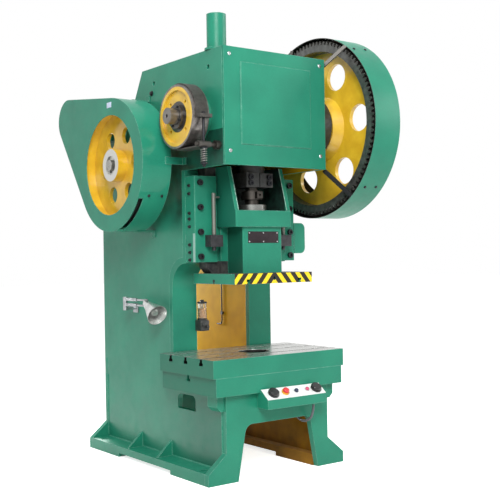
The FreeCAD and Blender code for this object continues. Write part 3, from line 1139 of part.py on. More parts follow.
def make_brake_band():
    """Lined steel band round the drum with a lug for the pull rod and a strap to its pin."""
    y, z = front + size.crank_back, size.crank_height
    left, right = -size.band_left, -size.band_right
    inner = size.drum + size.band_gap
    outer = inner + size.band_lining + size.band_steel
    sweep = 360 - 270 + size.band_end_angle
    band = ring_sector(inner, outer, left, right, (y, z), -90, sweep)
    lug_z = z + outer * math.sin(math.radians(size.band_end_angle))
    rod_y = front + size.brake_rod_back
    lug = block((left, rod_y - size.band_lug_rise, lug_z),
                (right, y - math.sqrt(inner ** 2 - (z - lug_z) ** 2) - 1, lug_z + size.band_lug))
    hole = cylinder(size.brake_rod + size.seat_gap, size.band_lug,
                    (-size.brake_rod_x, rod_y, lug_z), (0, 0, 1))
    strap_top = z - inner
    strap = block((left, rod_y, strap_top - size.strap_plate), (right, y, strap_top))
    eye = cylinder(size.brake_pin_height - size.spring_top - size.washer_height, right - left,
                   (left, rod_y, size.brake_pin_height), (1, 0, 0))
    drum = cylinder(inner, right - left, (left, y, z), (1, 0, 0))
    bore = cylinder(size.brake_pin + size.seat_gap, right - left,
                    (left, rod_y, size.brake_pin_height), (1, 0, 0))
    through = cylinder(size.brake_rod + size.seat_gap, 4 * size.brake_boss,
                       (-size.brake_rod_x, rod_y, size.brake_pin_height - 2 * size.brake_boss),
                       (0, 0, 1))
    body = band.multiFuse([lug, strap, eye]).cut(drum.fuse(bore))
    solid("brake_band", body.cut(hole).cut(through))


def make_brake_anchor():
    """Cross pin on the left cheek that holds the fixed end of the band."""
    anchor = Piece("brake_anchor", y="size.brake_rod_back - size.base_depth / 2",
                   z="size.brake_pin_height")
    anchor.pad("YZ", "-size.half_width - size.brake_boss_reach", "size.brake_boss_reach",
               circles=[("0", "0", "size.brake_boss")])
    anchor.pad("YZ", "-size.brake_pin_end", "size.brake_pin_end - size.half_width",
               circles=[("0", "0", "size.brake_pin")])
    anchor.cut("XY", "-2 * size.brake_boss", "4 * size.brake_boss",
               circles=[("-size.brake_rod_x", "0", "size.brake_rod + size.seat_gap")])


def hexagon(across, height, base):
    """Hexagon nut blank standing along Z."""
    radius = across / math.cos(math.pi / 6)
    ring = [Vector(base[0] + radius * math.cos(i * math.pi / 3),
                   base[1] + radius * math.sin(i * math.pi / 3), base[2]) for i in range(7)]
    return Part.Face(Part.makePolygon(ring)).extrude(Vector(0, 0, height))


def make_brake_rod():
    """Pull rod of the brake with its nuts and washers, in one piece with them."""
    x, y = -size.brake_rod_x, front + size.brake_rod_back
    up = (0, 0, 1)
    z = size.crank_height
    lug_z = z + (size.drum + size.band_gap + size.band_lining + size.band_steel) * math.sin(
        math.radians(size.band_end_angle))
    rod = cylinder(size.brake_rod, size.brake_rod_top - size.brake_rod_low,
                   (x, y, size.brake_rod_low), up)
    shapes = [
        cylinder(size.washer, size.washer_height, (x, y, size.spring_top), up),
        cylinder(size.washer, size.washer_height, (x, y, size.spring_low - size.washer_height), up),
        hexagon(size.nut, size.nut_height,
                (x, y, size.spring_low - size.washer_height - size.nut_height)),
        hexagon(size.nut, size.nut_height, (x, y, lug_z + size.band_lug))]
    solid("brake_rod", rod.multiFuse(shapes))


def make_brake_spring():
    """Coil spring round the pull rod below its anchor."""
    wire = size.spring_wire / 2
    height = size.spring_top - size.spring_low - 2 * wire
    helix = Part.makeHelix(height / size.spring_turns, height, size.spring_round)
    profile = Part.Wire(Part.makeCircle(wire, Vector(size.spring_round, 0, 0), Vector(0, 1, 0)))
    coil = Part.Wire(helix.Edges).makePipeShell([profile], True, True)
    coil.translate(Vector(-size.brake_rod_x, front + size.brake_rod_back, size.spring_low + wire))
    solid("brake_spring", coil)


# ---- small fittings --------------------------------------------------------------------
def make_head_pipe():
    """Vertical pipe on the roof with a collar at its foot."""
    pipe = Piece("head_pipe", x="-size.pipe_x", y="size.pipe_back - size.base_depth / 2")
    pipe.pad("XY", "size.head_top", "size.pipe_top - size.head_top", circles=[("0", "0", "size.pipe")])
    pipe.pad("XY", "size.head_top", "size.pipe_collar_height",
             circles=[("0", "0", "size.pipe_collar")])
    pipe.cut("XY", "size.head_top", "size.pipe_top - size.head_top",
             circles=[("0", "0", "size.pipe - size.pipe_wall")])


def make_side_box():
    """Cover box on the right cheek, rounded at its outer edges."""
    cover = Piece("side_box")
    cover.pad("YZ", "size.half_width", "size.side_box_out - size.half_width", rectangle(
        "size.side_box_front", "size.side_box_back", "size.side_box_low", "size.side_box_high"))
    cover.soften("Fillet", "size.side_box_round", either(
        at(x=size.side_box_out, z=size.side_box_low), at(x=size.side_box_out, z=size.side_box_high)))


def make_lubricator():
    """Lubricator on the left throat flange: block, oil glass and caps."""
    oiler = Piece("lubricator", x="-size.lube_x")
    half = "size.lube_block_half"
    oiler.pad("XY", "size.lube_block_low", "size.lube_low - size.lube_block_low", rectangle(
        f"-{half}", half, "size.throat_face - 2 * size.lube_block_half", "size.throat_face"))
    place = "size.lube_back"
    oiler.pad("XY", "size.lube_low", "size.lube_high - size.lube_low",
              circles=[("0", place, "size.lube_glass")])
    for low in ("size.lube_low", "size.lube_high - size.lube_cap_height"):
        oiler.pad("XY", low, "size.lube_cap_height", circles=[("0", place, "size.lube_cap")])
    oiler.pad("XY", "size.lube_high", "size.lube_cap_height",
              circles=[("0", place, "size.lube_neck")])


def make_lube_pipe():
    """Oil pipe down the inside of the right cheek, hooked back at its foot."""
    x = size.half_width - size.cheek_thickness - size.lube_pipe - size.tab_plate / 2
    y = front + size.lube_pipe_back
    bend, foot = size.lube_pipe_bend, size.lube_pipe_low
    run = size.lube_pipe_top - foot - bend
    drop = cylinder(size.lube_pipe, run, (x, y, foot + bend), (0, 0, 1))
    end = size.lube_pipe_end - size.lube_pipe_back - bend
    tail = cylinder(size.lube_pipe, end, (x, y + bend, foot), (0, 1, 0))
    turn = Part.makeTorus(bend, size.lube_pipe, Vector(x, y + bend, foot + bend),
                          Vector(1, 0, 0), -180, 180, 360)
    corner = block((x - bend, y - bend, foot - bend), (x + bend, y + bend, foot + bend))
    clips = [block((x - size.lube_pipe, y - size.pipe_clip, height - size.pipe_clip),
                   (size.half_width - size.cheek_thickness, y + size.pipe_clip,
                    height + size.pipe_clip)) for height in (foot + 3 * bend, foot + run)]
    solid("lube_pipe", fused([drop, tail, turn.common(corner), *clips]))


def make_control_box():
    """Sheet box for the controls on the front leg plate, open under its panel."""
    box = Piece("control_box")
    depth, wall = "size.box_front", "size.box_wall"
    box.pad("YZ", "-size.box_left", "size.box_left + size.box_right", [
        ("0", "size.box_bottom"), (f"-{depth}", "size.box_bottom"), (f"-{depth}", "size.box_lip"),
        ("-size.box_brow", "size.box_rise"), ("-size.box_brow", "size.box_top"),
        ("0", "size.box_top")])
    tilt = "(size.box_rise - size.box_lip) / (size.box_front - size.box_brow)"
    lip = f"size.box_lip + {wall} * {tilt}"
    brow = f"size.box_rise - size.panel_margin * {tilt}"
    box.cut("YZ", f"-size.box_left + {wall}", f"size.box_left + size.box_right - 2 * {wall}", [
        (f"-{wall}", f"size.box_bottom + {wall}"), (f"-{depth} + {wall}", f"size.box_bottom + {wall}"),
        (f"-{depth} + {wall}", f"{lip} + size.cut_margin"),
        ("-size.box_brow - size.panel_margin", f"{brow} + size.cut_margin"),
        ("-size.box_brow - size.panel_margin", f"size.box_top - {wall}"),
        (f"-{wall}", f"size.box_top - {wall}")])
    box.pad("XY", "size.box_bottom - size.gland_length", "size.gland_length + size.box_wall / 2",
            circles=[("size.conduit_x", "-size.conduit_front", "size.gland")])
    box.cut("XY", "size.box_bottom - size.gland_length", f"size.gland_length + {wall}",
            circles=[("size.conduit_x", "-size.conduit_front", "size.conduit + size.seat_gap")])


PANEL_TILT = "atan((size.box_rise - size.box_lip) / (size.box_front - size.box_brow))"
PANEL_MIDDLE = ("sqrt((size.box_rise - size.box_lip) ^ 2 + (size.box_front - size.box_brow) ^ 2)"
                " / 2")
CONTROLS = (
    ("palm_button_left", "-size.palm_x", "palm"), ("palm_button_right", "size.palm_right_x", "palm"),
    ("emergency_stop", "-size.stop_button_x", "stop"), ("run_button", "size.run_button_x", "small"),
    ("inch_button", "size.inch_button_x", "small"))
KINDS = {
    "palm": ("size.palm", "size.palm_height", "size.palm_collar", "size.palm_collar_height",
             "size.palm_travel"),
    "stop": ("size.stop_button", "size.stop_button_height", "size.stop_collar",
             "size.stop_collar_height", "size.stop_travel"),
    "small": ("size.button", "size.button_height", "size.button_collar",
              "size.button_collar_height", "size.button_travel")}


def make_control_panel():
    """Sloping panel plate with a raised collar round each control."""
    panel = Piece("control_panel", y=f"{FRONT} - size.box_front", z="size.box_lip",
                  tilt=PANEL_TILT)
    panel.pad("XY", "0", "size.panel_plate", rectangle(
        "-size.box_left", "size.box_right", "0", f"2 * ({PANEL_MIDDLE})"))
    for label, across, kind in CONTROLS:
        collar, rise = KINDS[kind][2:4]
        panel.pad("XY", "size.panel_plate", rise, circles=[(across, PANEL_MIDDLE, collar)])
    for label, across, kind in CONTROLS:
        head, rise = KINDS[kind][0], KINDS[kind][3]
        panel.cut("XY", "size.panel_plate", rise, circles=[
            (across, PANEL_MIDDLE, f"{head} + size.button_gap")])
        panel.cut("XY", "0", "size.panel_plate", circles=[
            (across, PANEL_MIDDLE, "size.button_stem + size.button_gap")])


def make_control(label, across, kind):
    """Push button whose stem passes through the panel; it rests clear by its travel."""
    head, height, collar, rise, travel = KINDS[kind]
    button = Piece(label, x=across, y=(f"{FRONT} - size.box_front + {PANEL_MIDDLE}"
                                       f" * cos({PANEL_TILT})"),
                   z=f"size.box_lip + {PANEL_MIDDLE} * sin({PANEL_TILT})", tilt=PANEL_TILT)
    seat = f"size.panel_plate + {travel} + size.button_rest"
    button.pad("XY", "-size.stem_depth", f"size.stem_depth + {seat}",
               circles=[("0", "0", "size.button_stem")])
    button.pad("XY", seat, height, circles=[("0", "0", head)])
    top = max(vertex.Z for vertex in button.body.Tip.Shape.Vertexes)
    button.soften("Fillet", f"{height} * 0.25", lambda edge: len(edge.Vertexes) == 1 and
                  abs(edge.Vertexes[0].Z - top) < 0.01)


def conduit_route():
    """Points of the conduit: down from the box, back under the leg plate, up to the bed."""
    near, far = front - size.conduit_front, front + size.conduit_back
    x, low, high = size.conduit_x, size.box_bottom, size.bed_top - size.bed_deck
    return [(x, near, low - 2), (x, near, low - 83), (x - 5, near + 59, low - 141),
            (x - 11, near + 141, low - 143), (x - 8, far - 1, low - 84), (x - 3, far - 4, low - 2),
            (x, far, low + 80), (x, far, high - 2)]


def rounded_path(points):
    """Straight runs through the points, joined by the largest tangent arcs, and the arcs' radii."""
    points = [Vector(*point) for point in points]
    edges, radii, start = [], [], points[0]
    for before, corner, after in zip(points, points[1:], points[2:]):
        come, leave = before - corner, after - corner
        share = size.arc_share * min(come.Length, leave.Length)
        half = (math.pi - come.getAngle(leave)) / 2
        come, leave = come.normalize(), leave.normalize()
        radius = share / math.tan(half)
        inward = (come + leave).normalize()
        middle = corner + inward * (radius / math.cos(half) - radius)
        first, last = corner + come * share, corner + leave * share
        edges += [Part.LineSegment(start, first).toShape(), Part.Arc(first, middle, last).toShape()]
        radii.append(radius)
        start = last
    edges.append(Part.LineSegment(start, points[-1]).toShape())
    return Part.Wire(edges), radii


def make_conduit():
    """Flexible conduit from the control box up to the underside of the bed."""
    path, radii = rounded_path(conduit_route())
    ring = Part.Wire(Part.makeCircle(size.conduit, Vector(*conduit_route()[0]), Vector(0, 0, 1)))
    pipe = path.makePipeShell([ring], True, False)
    wanted = math.pi * size.conduit ** 2 * path.Length
    print(f"conduit: {path.Length:.1f} mm long, its volume is {pipe.Volume / wanted:.4f} of its"
          f" section times its length, its arc radii are", [round(radius) for radius in radii])
    solid("conduit", pipe)


def make_lamp():
    """Work lamp: base on the left cheek, swinging arm and tilting shade."""
    y, z = "size.lamp_back - size.base_depth / 2", "size.lamp_height"
    base = Piece("lamp_base", x="-size.half_width", y=y, z=z)
    drop = "size.lamp_arm_spread + size.lamp_knob"
    base.pad("YZ", "-size.lamp_plate", "size.lamp_plate", rectangle(
        "-size.lamp_plate_half", "size.lamp_plate_half",
        f"-({drop}) - size.lamp_plate_half - size.lamp_post",
        f"-({drop}) + size.lamp_plate_half - size.lamp_post"))
    base.pad("YZ", "-size.lamp_offset", "size.lamp_offset",
             circles=[("0", f"-({drop}) - size.lamp_post", "size.lamp_bar")])
    base.pad("XY", f"-({drop}) - 2 * size.lamp_post", f"2 * ({drop}) + 2 * size.lamp_post",
             circles=[("-size.lamp_offset", "0", "size.lamp_pin")])
    base.pad("XY", f"-({drop}) - 2 * size.lamp_post", "2 * size.lamp_post - size.seat_gap",
             circles=[("-size.lamp_offset", "0", "size.lamp_knob")])

    arm = Piece("lamp_arm", x="-size.half_width - size.lamp_offset", y=y, z=z)
    arm.pad("XY", f"-({drop})", f"2 * ({drop})", circles=[("0", "0", "size.lamp_knob")])
    for up in ("", "-"):
        arm.pad("XZ", "-size.lamp_reach", "size.lamp_reach",
                circles=[("0", f"{up}size.lamp_arm_spread", "size.lamp_arm")])
    arm.pad("YZ", "-size.lamp_arm", "2 * size.lamp_arm", rectangle(
        "-size.lamp_reach - size.lamp_knob", "-size.lamp_reach + size.lamp_knob",
        f"-({drop}) + size.lamp_lug", f"{drop} - size.lamp_lug"))
    arm.cut("XY", f"-({drop})", f"2 * ({drop})",
            circles=[("0", "0", "size.lamp_pin + size.running_gap")])
    arm.cut("YZ", "-size.lamp_arm", "2 * size.lamp_arm",
            circles=[("-size.lamp_reach", "0", "size.lamp_pin")])

    shade = Piece("lamp_shade", x="-size.half_width - size.lamp_offset",
                  y=f"{y} - size.lamp_reach", z=z, tilt="size.lamp_tilt")
    shade.pad("YZ", "-size.lamp_arm - size.lamp_lug", "2 * (size.lamp_arm + size.lamp_lug)",
              circles=[("0", "0", "size.lamp_pin - size.running_gap")])
    for start in ("-size.lamp_arm - size.lamp_lug", "size.lamp_arm + size.seat_gap"):
        shade.pad("YZ", start, "size.lamp_lug - size.seat_gap", rectangle(
            "-size.lamp_neck_length", "size.lamp_knob", "-size.lamp_knob", "size.lamp_knob"))
    neck, mouth = "-size.lamp_neck_length", "-size.lamp_neck_length - size.lamp_length"
    wall = "size.lamp_wall"
    drawing = shade.sketch("YZ", "0")
    shade.draw(drawing, [
        (f"{neck} + size.lamp_wall * 3", "0"), (f"{neck} + size.lamp_wall * 3", "size.lamp_neck"),
        (neck, "size.lamp_neck"), (mouth, "size.lamp_shade"), (mouth, f"size.lamp_shade - {wall}"),
        (neck, f"size.lamp_neck - {wall}"), (neck, "size.lamp_bulb * 0.6"),
        (f"{mouth} / 2 + ({neck}) / 2", "size.lamp_bulb"),
        (f"{mouth} + size.lamp_bulb", "size.lamp_bulb * 0.7"),
        (f"{mouth} + size.lamp_bulb", "0")], ())
    feature = shade.body.newObject("PartDesign::Revolution", "lamp_shade_turn")
    feature.Profile = drawing
    feature.ReferenceAxis = (drawing, ["H_Axis"])
    feature.Angle = 360
    doc.recompute()


# ---- building --------------------------------------------------------------------------
for name, side in SIDES:
    make_cheek(name, side)
    make_foot(name, side)
    make_throat_flange(name, side)
    make_gib(name, side)
make_leg_plate("front_leg_plate", "0")
make_leg_plate("back_leg_plate", "size.base_depth - size.leg_plate")
make_bed()
make_bolster()
make_head()
make_slide()
make_gib_bolts()
make_stops()
make_crankshaft()
make_crank_bushes()
make_connecting_rod()
make_rod_cap()
make_rod_bolts()
make_adjusting_screw()
make_ball_retainer()
make_shank_screw()
make_main_gear()
make_pinion()
make_drive_shaft()
make_shaft_bearings()
make_clutch_housing()
make_flywheel()
make_motor_pulley()
make_motor()
make_motor_bracket()
make_drive_belts()
make_belt_guard()
make_gear_guard()
make_guard_stays()
make_brake_drum()
make_brake_band()
make_brake_anchor()
make_brake_rod()
make_brake_spring()
make_head_pipe()
make_side_box()
make_lubricator()
make_lube_pipe()
make_control_box()
make_control_panel()
for control in CONTROLS:
    make_control(*control)
make_conduit()
make_lamp()
#MORE
doc.recompute()

for item in doc.Objects:
    if any(state in ("Invalid", "Error") for state in item.State):
        raise RuntimeError(f"{item.Label} did not build: {item.State}")
for label, item in pieces.items():
    if item.Shape.isNull() or not item.Shape.isValid():
        raise RuntimeError(f"{label} has no valid shape")

os.makedirs("parts", exist_ok=True)
for label, item in pieces.items():
    item.Shape.exportStep(os.path.join("parts", f"{label}.step"))
    print(f"{label}: {len(item.Shape.Solids)} solid(s), {item.Shape.Volume / 1e6:.3f} litres")
print(len(pieces), "sub-parts")
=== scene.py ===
import bpy
import bmesh
import math
from mathutils import Matrix, Vector


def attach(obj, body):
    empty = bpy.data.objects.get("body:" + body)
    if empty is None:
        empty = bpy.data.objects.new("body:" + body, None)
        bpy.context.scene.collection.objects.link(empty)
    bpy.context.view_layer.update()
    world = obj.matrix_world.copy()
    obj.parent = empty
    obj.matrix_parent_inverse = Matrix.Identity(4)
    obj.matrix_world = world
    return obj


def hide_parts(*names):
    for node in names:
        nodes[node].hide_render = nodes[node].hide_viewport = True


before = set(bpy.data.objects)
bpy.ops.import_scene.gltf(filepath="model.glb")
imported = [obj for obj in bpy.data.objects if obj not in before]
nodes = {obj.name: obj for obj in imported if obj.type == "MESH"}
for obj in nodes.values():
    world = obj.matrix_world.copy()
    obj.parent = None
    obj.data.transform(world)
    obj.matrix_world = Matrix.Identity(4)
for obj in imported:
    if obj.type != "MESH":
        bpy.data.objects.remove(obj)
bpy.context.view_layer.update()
print("frame loaded:", len(nodes), "nodes")

legFace = -835      # the front leg plate's face, in mm; depths below count back from it


def spot(x, back, z):
    # a place on the machine, from millimetres
    return Vector((x, legFace + back, z)) / 1000


view = {"at": (-3901.7, -4944.4, 1500), "turn": -36.65, "pitch": 0.27, "roll": -0.9, "lens": 66.38}

lens = bpy.data.cameras.new("camera")
lens.lens = view["lens"]
lens.sensor_width = 36
lens.clip_end = 100
camera = bpy.data.objects.new("camera", lens)
camera.matrix_world = (Matrix.Translation(spot(*view["at"]))
                       @ Matrix.Rotation(math.radians(view["turn"]), 4, "Z")
                       @ Matrix.Rotation(math.radians(90 + view["pitch"]), 4, "X")
                       @ Matrix.Rotation(math.radians(view["roll"]), 4, "Z"))
bpy.context.collection.objects.link(camera)
bpy.context.scene.camera = camera
print("camera placed")


def toLinear(code):
    parts = [int(code[i:i + 2], 16) / 255 for i in (1, 3, 5)]
    return [p / 12.92 if p <= 0.04045 else ((p + 0.055) / 1.055) ** 2.4 for p in parts] + [1]


def toned(code, share):
    # a hex code made darker or lighter by that share
    parts = [min(255, int(int(code[i:i + 2], 16) * share)) for i in (1, 3, 5)]
    return "#%02x%02x%02x" % tuple(parts)


def addNode(tree, kind, settings=None, links=None):
    node = tree.nodes.new("ShaderNode" + kind)
    for key, value in (settings or {}).items():
        if isinstance(key, int) or key in node.inputs:
            node.inputs[key].default_value = value
        else:
            setattr(node, key, value)
    for key, source in (links or {}).items():
        tree.links.new(source, node.inputs[key])
    return node


def startFinish(name, colour, **sockets):
    material = bpy.data.materials.new(name)
    material.use_nodes = True
    tree = material.node_tree
    shader = tree.nodes["Principled BSDF"]
    shader.inputs["Base Color"].default_value = toLinear(colour)
    for key, value in sockets.items():
        shader.inputs[key.replace("_", " ")].default_value = value
    place = addNode(tree, "TexCoord").outputs["Object"]
    return material, tree, shader, place


def mixColour(tree, factor, low, high):
    # low and high are hex codes or colour outputs
    mix = addNode(tree, "Mix", {"data_type": "RGBA"}, {0: factor})
    for key, value in ((6, low), (7, high)):
        if isinstance(value, str):
            mix.inputs[key].default_value = toLinear(value)
        else:
            tree.links.new(value, mix.inputs[key])
    return mix.outputs[2]


def grain(tree, place, size, low, high, detail=2, stretch=None):
    # noise with cells of that size in mm, spread between two values
    if stretch:
        place = addNode(tree, "Mapping", {"Scale": stretch}, {"Vector": place}).outputs[0]
    noise = addNode(tree, "TexNoise", {"Scale": 1000 / size, "Detail": detail}, {"Vector": place})
    spread = {"From Min": 0.3, "From Max": 0.7, "To Min": low, "To Max": high}
    return addNode(tree, "MapRange", spread, {"Value": noise.outputs[0]}).outputs[0]


def bumps(tree, shader, height, depth, roundness=None):
    # depth and roundness of the edges in mm
    links = {"Height": height}
    if roundness:
        edge = addNode(tree, "Bevel", {"samples": 4, "Radius": roundness / 1000})
        links["Normal"] = edge.outputs[0]
    bump = addNode(tree, "Bump", {"Strength": 1, "Distance": depth / 1000}, links)
    tree.links.new(bump.outputs[0], shader.inputs["Normal"])


def both(tree, first, second, operation="MULTIPLY"):
    # where two masks overlap, or with MAXIMUM where either is
    return addNode(tree, "Math", {"operation": operation}, {0: first, 1: second}).outputs[0]


def along(tree, place, axis, mirrored=False):
    # metres along an axis, or outwards from the middle to both sides
    value = addNode(tree, "SeparateXYZ", None, {"Vector": place}).outputs[axis]
    if mirrored:
        value = addNode(tree, "Math", {"operation": "ABSOLUTE"}, {0: value}).outputs[0]
    return value


def within(tree, value, low, high):
    # 1 between two places in mm
    above = addNode(tree, "Math", {"operation": "GREATER_THAN", 1: low / 1000}, {0: value})
    below = addNode(tree, "Math", {"operation": "LESS_THAN", 1: high / 1000}, {0: value})
    return both(tree, above.outputs[0], below.outputs[0])


def zone(tree, place, x=None, back=None, z=None):
    # 1 inside a box in machine mm, where x counts outwards from the middle
    mask = None
    for axis, span in enumerate((x, back, z)):
        if span:
            start = legFace if axis == 1 else 0
            value = along(tree, place, axis, axis == 0)
            inside = within(tree, value, start + span[0], start + span[1])
            mask = inside if mask is None else both(tree, mask, inside)
    return mask


def reachFrom(tree, place, middle, axis=0):
    # distance from a line through the middle, in metres
    moved = addNode(tree, "Mapping", {"Location": -middle}, {"Vector": place}).outputs[0]
    keep = [0 if i == axis else 1 for i in range(3)]
    flat = addNode(tree, "Mapping", {"Scale": keep}, {"Vector": moved}).outputs[0]
    return addNode(tree, "VectorMath", {"operation": "LENGTH"}, {0: flat}).outputs["Value"]


def overlay(finish, mask, colour, metallic=None):
    # lays another colour over the masked part of a finish; metallic is what the masked part gets
    material, tree, shader, place = finish
    socket = shader.inputs["Base Color"]
    under = socket.links[0].from_socket
    tree.links.new(mixColour(tree, mask, under, colour), socket)
    if metallic is not None:
        share = shader.inputs["Metallic"]
        if share.is_linked:
            old = share.links[0].from_socket
        else:
            plain = {"operation": "MULTIPLY", 0: share.default_value, 1: 1}
            old = addNode(tree, "Math", plain).outputs[0]
        mixed = addNode(tree, "Mix", {"data_type": "FLOAT", 3: metallic}, {0: mask, 2: old})
        tree.links.new(mixed.outputs[0], share)
    return finish


def overlayZone(finish, colour, metallic=None, **box):
    # another colour inside a box
    material, tree, shader, place = finish
    return overlay(finish, zone(tree, place, **box), colour, metallic)


# the two shafts, as depth and height in machine mm
axles = {"crank": (270, 2425), "shaft": (950, 2154.03)}
middleOf = {name: spot(0, *at) for name, at in axles.items()}

# the lighter edge colour is a painted highlight with wear
enamel = {"green": "#26866b", "shade": "#227b63", "wornHighlight": "#a4cfc2", "oiled": "#1b6a54",
          # the two darker primer colours, and the heights they fade over, are painted shade in the
          # base
          "primer": "#e0b012", "stain": "#cc9b12", "shadedPrimer": "#94670f", "dark": "#6f4d10",
          "peel": 4, "cloud": 260, "speck": 9, "edge": 6, "brush": 160, "shadeHeights": (0.55, 0.72)}


def machineEnamel(name, inner=None, sheen=0.25):
    # satin alkyd enamel sprayed over filler: faint orange peel, slow drift of colour, rounded edges
    finish = startFinish(name, enamel["green"], IOR=1.5, Specular_IOR_Level=sheen)
    material, tree, shader, place = finish
    cloud = grain(tree, place, enamel["cloud"], 0, 1)
    colour = mixColour(tree, cloud, enamel["green"], enamel["shade"])
    speck = grain(tree, place, enamel["speck"], 0.95, 1.04, 3)
    shade = addNode(tree, "HueSaturation", None, {"Value": speck, "Color": colour}).outputs[0]
    # edges drawn lighter: painted highlight on their rounded edges, with wear where the coat is
    # thin
    edge = addNode(tree, "Bevel", {"samples": 4, "Radius": enamel["edge"] / 1000}).outputs[0]
    flat = addNode(tree, "NewGeometry").outputs["Normal"]
    turn = addNode(tree, "VectorMath", {"operation": "DOT_PRODUCT"}, {0: edge, 1: flat})
    wornHighlight = addNode(tree, "MapRange", {"From Min": 0.99, "From Max": 0.9, "To Max": 0.55},
                     {"Value": turn.outputs["Value"]}).outputs[0]
    wornHighlight = both(tree, wornHighlight, grain(tree, place, 45, 0, 1, 3))
    tree.links.new(mixColour(tree, wornHighlight, shade, enamel["wornHighlight"]), shader.inputs["Base Color"])
    tree.links.new(grain(tree, place, 60, 0.3, 0.42), shader.inputs["Roughness"])
    bumps(tree, shader, grain(tree, place, enamel["peel"], 0, 1, 1), 0.05, 2.5)
    if inner:
        # brushed ochre primer where the top coat was never sprayed
        mask = zone(tree, place, **inner)
        brushed = grain(tree, place, enamel["brush"], 0, 1, 3)
        clean = mixColour(tree, brushed, enamel["primer"], enamel["stain"])
        # in the base it is painted darker brown towards the bottom: painted shade
        shadedPrimer = mixColour(tree, brushed, enamel["shadedPrimer"], enamel["dark"])
        low, high = enamel["shadeHeights"]
        height = addNode(tree, "MapRange", {"From Min": low, "From Max": high},
                         {"Value": along(tree, place, 2)}).outputs[0]
        overlay(finish, mask, mixColour(tree, height, shadedPrimer, clean))
        rough = shader.inputs["Roughness"].links[0].from_socket
        matt = addNode(tree, "Mix", {"data_type": "FLOAT", 3: 0.7}, {0: mask, 2: rough}).outputs[0]
        tree.links.new(matt, shader.inputs["Roughness"])
    return finish


def shadowedCheek():
    # the left cheek: painted shadow darkens it round the belt guard, and painted shade below the
    # bed
    guardShadow = {"fade": (560, 760), "most": 0.95, "z": (1500, 2330), "colour": "#0e3a2e"}
    base = {"fade": (250, 760), "most": 0.6, "z": (0, 697), "colour": "#145140"}
    face = (439, 441)
    finish = machineEnamel("enamel outside, primer inside left", primed["cheek"], 0.4)
    material, tree, shader, place = finish

    def fading(shadowZone):
        start, end = shadowZone["fade"]
        spread = {"From Min": (legFace + start) / 1000, "From Max": (legFace + end) / 1000,
                  "To Min": shadowZone["most"], "To Max": 0}
        return addNode(tree, "MapRange", spread, {"Value": along(tree, place, 1)}).outputs[0]

    upwards = addNode(tree, "MapRange", {"From Min": 1.6, "From Max": 1.8},
                      {"Value": along(tree, place, 2)}).outputs[0]
    patchy = both(tree, both(tree, fading(guardShadow), upwards), grain(tree, place, 90, 0.75, 1.1, 3))
    # the two dark overlays are painted shadow beside the guard and painted shade under the bed
    for shadowZone, strength in ((guardShadow, patchy), (base, fading(base))):
        mask = both(tree, strength, zone(tree, place, x=face, z=shadowZone["z"]))
        overlay(finish, mask, shadowZone["colour"])
    return finish


def yellowEnamel(name):
    # brushed yellow enamel on a rough casting: a soft gloss over low lumps
    finish = startFinish(name, "#d9b138", IOR=1.5, Roughness=0.3, Coat_Weight=0.45,
                         Coat_Roughness=0.07)
    material, tree, shader, place = finish
    colour = mixColour(tree, grain(tree, place, 90, 0, 1, 3), "#e2bb30", "#cfa223")
    tree.links.new(colour, shader.inputs["Base Color"])
    bumps(tree, shader, grain(tree, place, 5, 0, 1, 3), 0.1, 2)
    return finish


def groundSteel(name, code, size, stretch, roughness=0.32):
    # surface ground steel under a film of oil: fine parallel scratches, faint blotches
    finish = startFinish(name, code, Metallic=0.9, Roughness=roughness)
    material, tree, shader, place = finish
    blotched = mixColour(tree, grain(tree, place, 70, 0, 1, 3), code, toned(code, 0.84))
    tree.links.new(blotched, shader.inputs["Base Color"])
    scratch = grain(tree, place, size, 0, 1, 2, stretch)
    spread = {"To Min": roughness - 0.06, "To Max": roughness + 0.1}
    rough = addNode(tree, "MapRange", spread, {"Value": scratch}).outputs[0]
    tree.links.new(rough, shader.inputs["Roughness"])
    bumps(tree, shader, scratch, 0.02, 1)
    return finish


def castIron(name, code, roughness=0.5, metallic=0.6):
    # sand-cast iron with a film of dark grease: coarse skin with pits
    finish = startFinish(name, code, Metallic=metallic, Roughness=roughness)
    material, tree, shader, place = finish
    skin = mixColour(tree, grain(tree, place, 24, 0, 1, 4), code, toned(code, 1.35))
    tree.links.new(skin, shader.inputs["Base Color"])
    bumps(tree, shader, grain(tree, place, 3, 0, 1, 3), 0.15, 1.5)
    return finish


def mouldedPlastic(name, code, roughness=0.2, fleck=0.04):
    # injection-moulded ABS: even gloss with a trace of flow marks
    finish = startFinish(name, code, IOR=1.53, Roughness=roughness)
    material, tree, shader, place = finish
    tone = grain(tree, place, 14, 1 - fleck, 1 + fleck)
    base = addNode(tree, "HueSaturation", {"Color": toLinear(code)}, {"Value": tone})
    tree.links.new(base.outputs[0], shader.inputs["Base Color"])
    bumps(tree, shader, grain(tree, place, 6, 0, 1), 0.01, 0.6)
    return finish


def rubberFinish(name, code, size):
    # vulcanised rubber, matt with a dusty bloom
    finish = startFinish(name, code, IOR=1.52, Roughness=0.62)
    material, tree, shader, place = finish
    bloom = mixColour(tree, grain(tree, place, size * 6, 0, 1, 3), code, "#34353a")
    tree.links.new(bloom, shader.inputs["Base Color"])
    bumps(tree, shader, grain(tree, place, size, 0, 1), 0.1)
    return finish


def clearFinish(name, code, roughness=0.02, clear=1.0):
    # cast acrylic or oil: light passes, faint streaks
    finish = startFinish(name, code, IOR=1.47, Transmission_Weight=clear, Roughness=roughness)
    material, tree, shader, place = finish
    streaks = mixColour(tree, grain(tree, place, 20, 0, 0.3), code, "#ffffff")
    tree.links.new(streaks, shader.inputs["Base Color"])
    return finish


